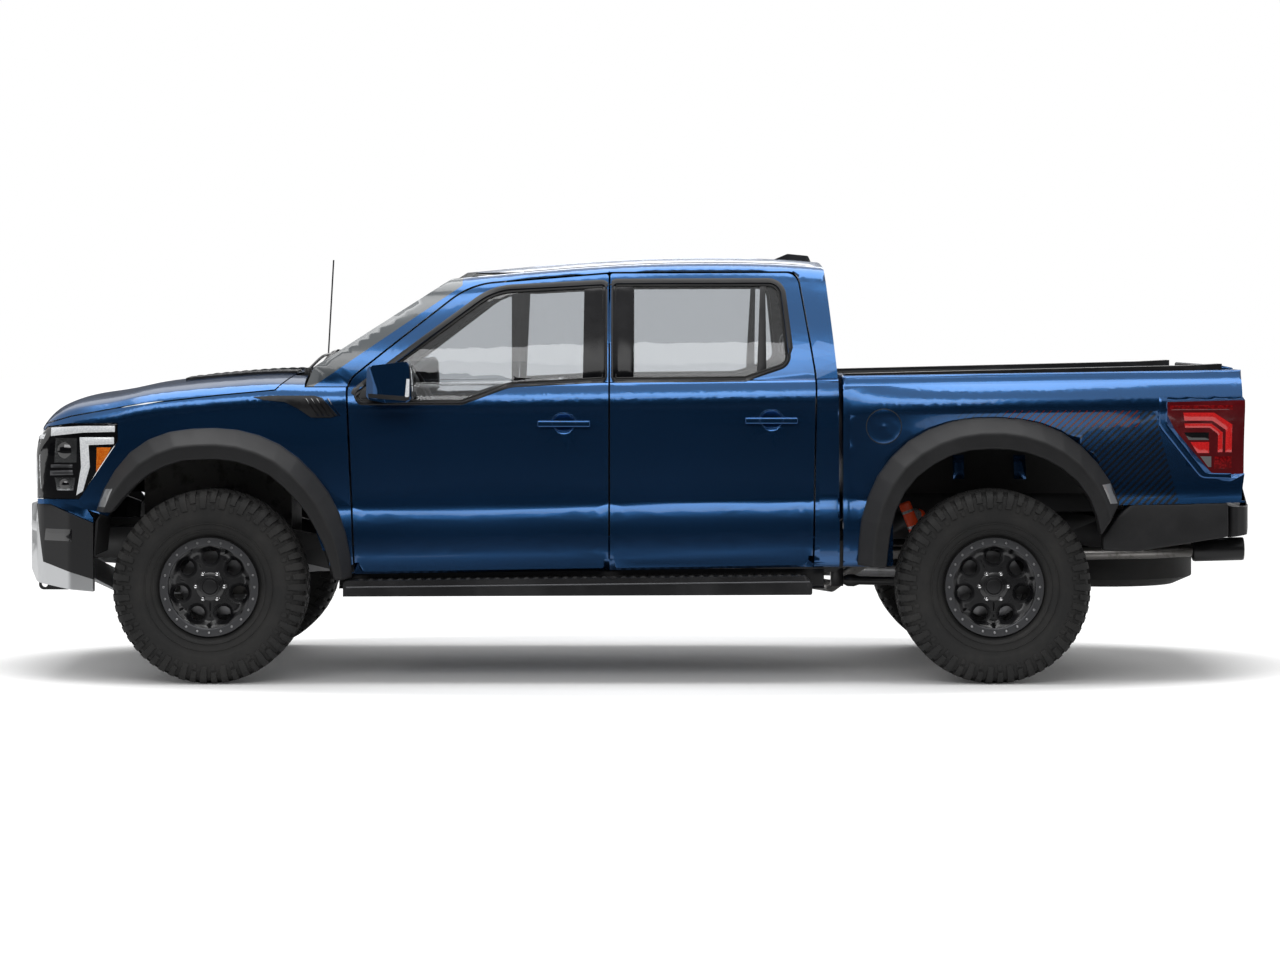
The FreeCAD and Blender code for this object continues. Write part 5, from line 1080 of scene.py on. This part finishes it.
# Front bumper: silver face and fog lamps in dark pockets; amber markers and a bright line on the grille's bar
for name, slotName, look, angle, lift, step, boxes in (
        ("bumper_face", "skid_alloy", silver, 30, 0.0017, 0.03, (
            ((-0.60, 0.60, 0.700, 0.752), 5), ((-0.50, 0.50, 0.500, 0.552), 5),
            ((-0.640, -0.345, 0.552, 0.700), 6), ((-0.80, -0.60, 0.716, 0.752), 4),
            ((0.345, 0.640, 0.552, 0.700), 6), ((0.60, 0.80, 0.716, 0.752), 4))),
        ("grille_bar_trim", "rim_dark", ringGrey, 35, 0.004, 0.05, (
            ((-0.54, 0.54, 0.990, 1.000), 3), ((-0.54, 0.54, 1.010, 1.020), 3))),
        ("grille_markers", "lamp_clear", amber, 35, 0.004, 0.02, [((y - 0.03, y + 0.03, 0.975, 0.984), 3)
                                                                  for y in (-0.18, 0.0, 0.18)])):
    panels(frontTree, boxes, lift, step, "ahead").build(name, "chassis", slotName, look, angle)
fog = Form()
for sign in (-1, 1):
    for y in (0.69, 0.75):
        fog.join(turned(rounded([(0.0, -0.010), (0.015, -0.008), (0.024, -0.001), (0.0265, 0.006), (0.0265, 0.02),
                                 (0.0, 0.02)], 3), 28, "x", (-2.880, y * sign, 0.672)))
fog.build("fog_lamps", "chassis", "lamp_clear", whiteLight, 30)
pocket = skin(treeOf("front_bumper"), [(-2.835, 0.668), (-2.690, 0.668)], [(-2.828, 0.724), (-2.690, 0.724)], 0.003, 5)
bothSides(pocket, "fog_surround", "black_trim", gloss)

# Grille mesh: level and upright wires in each opening between the ribs
meshShape = {"first": -0.5297, "pitch": 0.17966, "width": 0.1617, "rows": ((0.874, 0.972), (1.036, 1.128))}
bars = Form()
for y0 in meshShape["first"] + np.arange(6) * meshShape["pitch"]:
    for low, high in meshShape["rows"]:
        for z in low + (high - low) * np.arange(1, 4) / 4:
            bars.join(carried([(-2.880, y0 + 0.004, z), (-2.880, y0 + 0.158, z)], ring(0.0038, 6), (0, 0, 1)))
        for y in y0 + meshShape["width"] * np.arange(1, 6) / 6:
            bars.join(carried([(-2.872, y, low + 0.002), (-2.872, y, high - 0.002)], ring(0.003, 6), (0, 1, 0)))
bars.build("grille_mesh", "chassis", "black_trim", gloss)

# Tail: handle bar in its recess, a blank plate and pads on the step. The blank plate takes the lamps' glowing white,
# so it glows though it is no lamp: a painted glow
for name, body, slotName, look, half, low, high, radius, front, back, bevel in (
        ("gate_handle", "tail_gate", "black_trim", satin, 0.11, 1.240, 1.272, 0.01, 2.842, 2.852, 0.002),
        ("rear_plate", "chassis", "skid_alloy", whiteLight, 0.15, 0.700, 0.778, 0.008, 2.9145, 2.9185, 0.001)):
    line = rounded([(-half, low, radius), (half, low, radius), (half, high, radius), (-half, high, radius)], 4)
    plate(line, front, back, bevel, True).build(name, body, slotName, look)
panels(treeOf("tailgate", "rear_bumper", "tail_lamps", "cargo_bed"),
       [((2.868, 2.912, low, high), 4) for low, high in ((-0.80, -0.36), (-0.30, 0.30), (0.36, 0.80))],
       0.004, 0.03, "down", True).build("step_pads", "chassis", "black_trim", spray)

# Sill covers below the cab, inside the running boards, and dark sheets above the rear axle, inside the bed, which
# stand in for the shade there: painted shade
for name, start, stop, count, y, z, look, section in (
        ("sill_cover", -1.43, 0.875, 60, -0.890, 0.4865, satin, rounded(
            [(-0.0465, -0.006, 0.002), (0.0465, -0.006, 0.002), (0.0465, 0.006, 0.002), (-0.0345, 0.006, 0.006),
             (-0.0425, 0.030, 0.004), (-0.0465, 0.030, 0.002)], 4)),
        ("shade_sheet", 1.16, 2.30, 40, -0.60, 0.865, carpet, rounded(
            [(-0.075, -0.003, 0.001), (0.075, -0.003, 0.001), (0.075, 0.003, 0.001), (-0.075, 0.003, 0.001)], 3))):
    path = np.stack([np.linspace(start, stop, count), np.full(count, y), np.full(count, z)], -1)
    bothSides(carried(path, section, (0, 0, 1)), name, "black_trim", look)

# Running boards: a ribbed tread strip on top and a paler line along the edge
boardTree = treeOf("running_boards")
ribs = panels(boardTree, [((x, x + 0.022, -1.045, -0.925), 3) for x in -1.33 + np.arange(46) * 0.046],
              0.004, 0.04, "down", True)
bothSides(ribs, "board_ribs", "black_trim", spray, angle=30)
bothSides(skin(boardTree, [(-1.385, 0.452), (0.80, 0.478)], [(-1.385, 0.459), (0.80, 0.485)], 0.004, 3, 0.05),
          "board_edge", "rim_dark", ringGrey)


print("stage: suspension")
# Spring wire: a helix about the line between two points, its pitch closing up at both ends
def helix(low, high, radius, wire, turnsCount):
    low = np.asarray(low, float)
    high = np.asarray(high, float)
    share = np.linspace(0, 1, int(turnsCount * 18))
    angle = share * turnsCount * 2 * math.pi
    rise = np.interp(share, [0, 0.09, 0.91, 1], [0.0, 0.035, 0.965, 1.0])
    way = high - low
    way /= np.linalg.norm(way)
    side = np.cross(way, (1.0, 0.0, 0.0))
    side /= np.linalg.norm(side)
    front = np.cross(side, way)
    around = np.cos(angle)[:, None] * side + np.sin(angle)[:, None] * front
    return carried(low + (high - low) * rise[:, None] + radius * around, ring(wire, 8), way)


# Front: coil over a damper on a line from arm to tower, its lower end forked round the axle shaft
low = np.array((-2.030, -0.650, 0.398))
run = np.array((-2.030, -0.560, 0.871)) - low
coils = helix(low + run * 0.36, low + run * 0.93, 0.047, 0.0075, 6.5)
damper = Form()
for start, stop, profile in ((0.28, 0.99, [(0, 0.020), (0.02, 0.0245), (0.55, 0.0245), (0.56, 0.011), (1, 0.011)]),
                             (0.335, 0.36, [(0, 0.03), (0.1, 0.05), (0.9, 0.052), (1, 0.046)]),
                             (0.93, 0.99, [(0, 0.045), (0.2, 0.052), (0.8, 0.052), (1, 0.03)])):
    damper.join(stem(low + run * start, low + run * stop, profile))
knee = low + run * 0.28
fork = Form()
for leg in (-0.034, 0.034):
    fork.join(stem(low + (leg, 0, 0.0), knee + (leg, 0, 0), [(0, 0.009), (1, 0.0095)]))
fork.join(stem(knee - (0.044, 0, 0), knee + (0.044, 0, 0), [(0, 0.014), (1, 0.014)]))

# Rear: coil and bump stop, trailing link, and a damper with its reservoir in two collars
coilAt = np.array((1.670, -0.440, 0.0))
rearSpring = helix(coilAt + (0, 0, 0.520), coilAt + (0, 0, 0.648), 0.054, 0.0085, 4.2)
rearSpring.join(stem(coilAt + (0, 0, 0.518), coilAt + (0, 0, 0.560),
                     [(0, 0.034), (0.1, 0.034), (0.9, 0.026), (1, 0.02)]))
link = stem((1.622, -0.520, 0.440), (0.992, -0.455, 0.448), [(0, 0.02), (0.03, 0.03), (0.08, 0.03), (0.12, 0.021),
                                                             (0.88, 0.021), (0.92, 0.03), (0.97, 0.03), (1, 0.02)])
eye = np.array((1.575, -0.602, 0.430))
reach = np.array((1.330, -0.602, 0.790)) - eye
rearDamper = stem(eye, eye + reach, [(0, 0.012), (0.36, 0.012), (0.37, 0.034), (0.40, 0.036), (0.96, 0.036),
                                     (1, 0.024)])
rearDamper.join(stem(eye - reach * 0.03, eye + reach * 0.05, [(0, 0.02), (0.3, 0.028), (0.7, 0.028), (1, 0.02)]))
can = np.array((1.330, -0.668, 0.690))
rise = np.array((1.272, -0.668, 0.838)) - can
canister = stem(can, can + rise, [(0, 0.022), (0.04, 0.0295), (0.96, 0.0295), (1, 0.022)])
collars = Form()
for share in (0.22, 0.70):
    collars.join(stem(can + rise * (share - 0.04), can + rise * (share + 0.04), [(0, 0.0315), (1, 0.0315)]))
collars.join(stem((1.330, -0.602, 0.775), (1.300, -0.668, 0.775), [(0, 0.015), (1, 0.015)]))
collars.join(stem((1.330, -0.560, 0.775), (1.330, -0.642, 0.775), [(0, 0.026), (0.1, 0.03), (0.9, 0.03), (1, 0.026)]))
for name, form, slotName, look, angle, node in (
        ("front_spring", coils, "damper_orange", orange, 40, "front_coilovers"),
        ("front_damper", damper, "frame_steel", steel, 35, None),
        ("front_fork", fork, "frame_steel", chassisBlack, 35, None),
        ("rear_spring", rearSpring, "frame_steel", chassisBlack, 40, "rear_suspension"),
        ("rear_link", link, "frame_steel", chassisBlack, 35, None),
        ("rear_damper", rearDamper, "damper_orange", orange, 35, "rear_dampers"),
        ("rear_reservoir", canister, "damper_orange", orange, 35, None),
        ("rear_collars", collars, "frame_steel", steel, 35, None)):
    bothSides(form, name, slotName, look, angle=angle, node=node)


print("stage: cabin")
# Soft block: a superquadric turned by tilt about the cross axis, its faces crowned
def pillow(centre, half, tilt, edge=0.32):
    rows, columns, crownShare = 40, 72, 0.16
    lift = np.linspace(-math.pi / 2, math.pi / 2, rows)[:, None]
    turn = (np.arange(columns) * 2 * math.pi / columns)[None, :]

    def power(value):
        return np.sign(value) * np.abs(value) ** edge

    x = half[0] * power(np.cos(lift)) * power(np.cos(turn))
    y = half[1] * power(np.cos(lift)) * power(np.sin(turn))
    z = half[2] * power(np.sin(lift)) * np.ones_like(turn)
    crown = (1 - (x / half[0]) ** 2) * (1 - (y / half[1]) ** 2)
    z = z + np.sign(z) * crown * half[2] * crownShare
    cos, sin = math.cos(tilt), math.sin(tilt)
    return Form().sheet(np.stack([centre[0] + x * cos + z * sin, centre[1] + y, centre[2] - x * sin + z * cos], -1),
                        loopV=True)


# Padding: remeshed evenly, blown up as cloth, each point held within the cap, then applied
cloth = {"voxel": 0.007, "quickScale": 2.5, "pressure": 4.0, "frames": 20, "cap": 0.024, "quality": 4, "mass": 0.3}


def padded(form, name):
    piece = bpy.data.objects.new(name, cleanMesh(name, form, 1e-5))
    scene.collection.objects.link(piece)
    voxels(piece, cloth["voxel"] * (1.0))
    applied(piece)
    start, ended = np.empty((2, len(piece.data.vertices) * 3))
    piece.data.vertices.foreach_get("co", start)
    modifier = piece.modifiers.new("Cloth", "CLOTH")
    modifier.settings.quality = cloth["quality"]
    modifier.settings.mass = cloth["mass"]
    modifier.settings.use_pressure = True
    modifier.settings.uniform_pressure_force = cloth["pressure"]
    modifier.settings.effector_weights.gravity = 0.0
    modifier.collision_settings.use_collision = False
    modifier.point_cache.frame_start = 1
    modifier.point_cache.frame_end = cloth["frames"]
    for step in range(1, cloth["frames"] + 1):
        scene.frame_set(step)
    blown = piece.evaluated_get(bpy.context.evaluated_depsgraph_get()).to_mesh()
    blown.vertices.foreach_get("co", ended)
    piece.modifiers.clear()
    shift = (ended - start).reshape(-1, 3)
    shift *= np.minimum(1, cloth["cap"] / np.maximum(np.linalg.norm(shift, axis=1, keepdims=True), 1e-9))
    piece.data.vertices.foreach_set("co", start + shift.ravel())
    scene.frame_set(1)
    return piece


# Patterns of the front seat and of one place of the bench, each set beside the middle of the truck
patterns = {
    "cushion": pillow((-0.620, 0, 0.868), (0.225, 0.155, 0.052), -0.07),
    "bolster": pillow((-0.620, 0.190, 0.880), (0.215, 0.036, 0.058), -0.07, 0.45),
    "back": pillow((-0.262, 0, 1.225), (0.048, 0.150, 0.270), 0.2),
    "wing": pillow((-0.285, 0.187, 1.215), (0.055, 0.033, 0.245), 0.2, 0.45),
    "rest": pillow((-0.195, 0, 1.632), (0.038, 0.108, 0.072), 0.1, 0.4),
    "benchCushion": pillow((0.395, 0, 0.920), (0.205, 0.205, 0.045), -0.05),
    "benchBack": pillow((0.682, 0, 1.255), (0.040, 0.205, 0.230), 0.2),
    "benchRest": pillow((0.742, 0, 1.588), (0.030, 0.092, 0.048), 0.1, 0.4)}
made = {name: padded(form, name + "_pattern") for name, form in patterns.items()}
seatAt = (("left", -0.410), ("right", 0.410))
benchAt = (-0.465, 0.0, 0.465)
seating = []
for side, y in seatAt:
    seating += [("cushion", f"seat_{side}_cushion", y, leather, "front_seats"),
                ("back", f"seat_{side}_back", y, leather, None),
                ("rest", f"seat_{side}_headrest", y, leatherAccent, None),
                ("bolster", f"seat_{side}_bolster_right", y, leatherAccent, None),
                ("bolster", f"seat_{side}_bolster_left", y - 0.380, leatherAccent, None),
                ("wing", f"seat_{side}_wing_right", y, leatherAccent, None),
                ("wing", f"seat_{side}_wing_left", y - 0.374, leatherAccent, None)]
for index, y in enumerate(benchAt):
    seating += [("benchCushion", f"bench_cushion_{index}", y, leather, "rear_seat"),
                ("benchBack", f"bench_back_{index}", y, leather, None),
                ("benchRest", f"bench_headrest_{index}", y, leatherAccent, None)]
for pattern, name, y, look, node in seating:
    mesh = made[pattern].data.copy()
    mesh.transform(Matrix.Translation((0, y, 0)))
    piece = finish(bpy.data.objects.new(name, mesh), "chassis", look, 60)
    if node:
        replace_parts(piece, node)
for piece in made.values():
    bpy.data.objects.remove(piece)

# Frames under and behind the padding, with posts up to the headrests
frames = Form()
for _, y in seatAt:
    frames.join(plate(rounded([(-0.83, 0.692), (-0.40, 0.692), (-0.36, 0.80, 0.02), (-0.85, 0.80, 0.02)], 4),
                      y - 0.19, y + 0.19, 0.006))
    frames.join(plate(rounded([(-0.31, 0.86, 0.02), (-0.245, 0.92, 0.02), (-0.142, 1.49, 0.02), (-0.155, 1.505, 0.01),
                               (-0.20, 1.50, 0.01), (-0.30, 0.92, 0.02)], 4), y - 0.20, y + 0.20, 0.006))
    for post in (-0.06, 0.06):
        frames.join(stem((-0.195, y + post, 1.47), (-0.195, y + post, 1.60), [(0, 0.006), (1, 0.006)], 10))
frames.build("seat_frames", "chassis", "black_trim", cabinTrim)
benchBase = plate(rounded([(0.20, 0.692), (0.60, 0.692), (0.60, 0.86, 0.01), (0.20, 0.87, 0.02)], 4),
                  -0.66, 0.66, 0.006)
benchBase.join(plate(rounded([(0.66, 0.90), (0.765, 0.90), (0.79, 1.50, 0.02), (0.735, 1.505, 0.02)], 4),
                     -0.68, 0.68, 0.006))
for y in benchAt:
    benchBase.join(stem((0.745, y, 1.49), (0.745, y, 1.57), [(0, 0.012), (1, 0.012)], 10))
benchBase.build("bench_frame", "chassis", "black_trim", cabinTrim)

# Steering wheel: rim with thumb rests, three flat spokes and a padded boss
hubAt = np.array((-1.040, -0.410, 1.343))
lean = np.array((165.0, 0, 93.0)) / math.hypot(165, 93)
acrossWay = np.array((0.0, 1.0, 0.0))
downWay = np.cross(lean, acrossWay)
downWay *= -np.sign(downWay[2])
cos, sin = roundSteps(72).T[..., None]
thumbs = 1 + 0.14 * np.exp(-((sin[:, 0] + 0.5) / 0.12) ** 2)
carried(hubAt + 0.183 * (cos * acrossWay + sin * downWay), ring(0.0145, 14, 1.1), lean, True, thumbs).build(
    "wheel_rim", "steering_rim", "black_trim", leather, 60)
boss = stem(hubAt - lean * 0.035, hubAt + lean * 0.022,
            [(0, 0.05), (0.3, 0.066), (0.8, 0.064), (0.95, 0.052), (1, 0.036)], 40)
boss.join(stem(hubAt - lean * 0.0512, hubAt - lean * 0.03, [(0, 0.02), (1, 0.02)]))
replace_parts(boss.build("wheel_boss", "steering_rim", "black_trim", cabinTrim, 40), "steering_wheel")
spokes = Form()
section = rounded([(-0.004, -0.016, 0.003), (0.004, -0.016, 0.003), (0.004, 0.016, 0.003), (-0.004, 0.016, 0.003)], 3)
share = np.linspace(0, 1, 10)
for way in (acrossWay, -acrossWay, downWay):
    path = hubAt + way * np.linspace(0.05, 0.176, 10)[:, None] - lean * (0.006 * np.sin(share * math.pi))[:, None]
    spokes.join(carried(path, section, lean, False, np.interp(share, [0, 0.4, 1], [1.35, 0.9, 1.1])))
spokes.build("wheel_spokes", "steering_rim", "black_trim", satin, 40)

# Instrument panel: screen, band, vents, the hood over the dials and the gear lever
dashTree = treeOf("dashboard")
dashParts = [("dash_screen", (-0.125, 0.135, 1.165, 1.300), 0.006, gloss, "black_trim"),
             ("dash_band", (-0.76, 0.76, 1.222, 1.232), 0.003, ringGrey, "rim_dark")]
for index, y in enumerate((-0.70, -0.20, 0.20, 0.70)):
    dashParts.append((f"dash_vent_{index}", (y - 0.055, y + 0.055, 1.245, 1.290), 0.004, satin, "black_trim"))
for name, box, lift, look, slotName in dashParts:
    panel(dashTree, box, lift, 5, 0.03, "dash").build(name, "chassis", slotName, look)
dialHood = plate(rounded([(-0.58, 1.345, 0.02), (-0.24, 1.345, 0.02), (-0.26, 1.415, 0.03), (-0.41, 1.432, 0.06),
                          (-0.56, 1.415, 0.03)], 6), -1.30, -1.20, 0.008, True)
dialHood.build("dial_hood", "chassis", "black_trim", cabinTrim)
lever = stem((-0.72, 0.0, 1.0), (-0.745, 0.0, 1.13), [(0, 0.035), (0.25, 0.02), (0.6, 0.012), (0.7, 0.022),
                                                     (0.85, 0.026), (1, 0.012)], 24)
lever.build("gear_lever", "chassis", "black_trim", satin, 40)


print("stage: small parts")
# Mirrors: glass in a frame on the rear face, a lamp strip on the outer edge and a black lower shell
for (side, way), body in zip(sides, pairs["front"]):
    mirrorTree = treeOf(f"mirror_{side}")
    y0, y1 = sorted((1.055 * way, 1.200 * way))
    panel(mirrorTree, (y0, y1, 1.350, 1.495), 0.003, 7, 0.02, "mirror").build(
        f"mirror_glass_{side}", body, "glass", mirrorFace, 30)
    corners = [(y0 - 0.008, 1.342, 0.015), (y1 + 0.008, 1.342, 0.015), (y1 + 0.008, 1.504, 0.015),
               (y0 - 0.008, 1.504, 0.015)]
    loop = closedSpread(rounded(corners, 5), 0.02)
    loopSkin(mirrorTree, loop, offset(loop, -0.010), 0.005, 4, "mirror").build(
        f"mirror_frame_{side}", body, "black_trim", satin, 30)
outerTree = treeOf("mirror_left")
bothSides(skin(outerTree, [(-1.098, 1.350), (-1.090, 1.440)], [(-1.078, 1.352), (-1.076, 1.440)], 0.0002, 4, 0.01),
          "mirror_lamp", "lamp_clear", whiteLight, "front")
bothSides(skin(outerTree, [(-1.268, 1.352), (-1.075, 1.336)], [(-1.270, 1.372), (-1.076, 1.358)], 0.0002, 4),
          "mirror_lower", "black_trim", grained, "front")

# Exhaust tips: black sleeves with rolled ends
tips = Form()
loop = np.insert(roundSteps(40), 0, 0, axis=1)
share = np.array([0, 0.02, 0.06, 0.97, 1.0, 1.0, 0.97, 0.35])
radius = np.array([0.040, 0.052, 0.0555, 0.0555, 0.0535, 0.050, 0.0475, 0.0475])
for way in (-1, 1):
    start = np.array((2.640, 0.790 * way, 0.616))
    path = start + (np.array((2.884, 0.790 * way, 0.622)) - start) * share[:, None]
    tips.sheet(path[:, None] + loop[None] * radius[:, None, None], loopV=True, caps=True)
tips.build("exhaust_tips", "chassis", "exhaust_steel", satin)

# Inside the load bed: floor ribs and tie-down rings
panels(treeOf("cargo_bed"), [((1.05, 2.74, y, y + 0.045), 4) for y in -0.54 + np.arange(13) * 0.09],
       0.010, 0.12, "down").build("bed_floor_ribs", "chassis", "body_paint", spray)
rings = Form()
for x in (1.08, 2.66):
    for y in (-0.775, 0.775):
        cos, sin = ring(0.026, 28).T
        path = np.stack([x + cos, np.full(28, y - 0.012 * np.sign(y)), 1.14 + sin], -1)
        rings.join(carried(path, ring(0.0042, 8), (0, 1, 0), True))
rings.build("tie_down_rings", "chassis", "frame_steel", chassisBlack, 40)

# Ribs in the rear wheel house, as on the photo
houseTree = treeOf("cargo_bed", "arch_liners")
for name, first, second in (("house_rib_a", [(1.505, 1.065), (1.510, 0.95)], [(1.560, 1.065), (1.562, 0.95)]),
                            ("house_rib_b", [(1.799, 1.065), (1.803, 0.95)], [(1.855, 1.065), (1.861, 0.95)])):
    bothSides(skin(houseTree, first, second, 0.010, 5, 0.02, "house"), name, "body_paint", paint)

# Roof: a seam strip over each side and pressed ribs
bothSides(panel(cabTree, (-0.62, 0.80, -0.610, -0.598), 0.0025, 3, 0.06, "down"), "roof_seam", "black_trim", satin)
ribs = panels(cabTree, [((-0.55, 0.60, y, y + 0.075), 6) for y in (-0.34, -0.11)], 0.004, 0.06, "down")
bothSides(ribs, "roof_ribs", "body_paint", paint, angle=60)
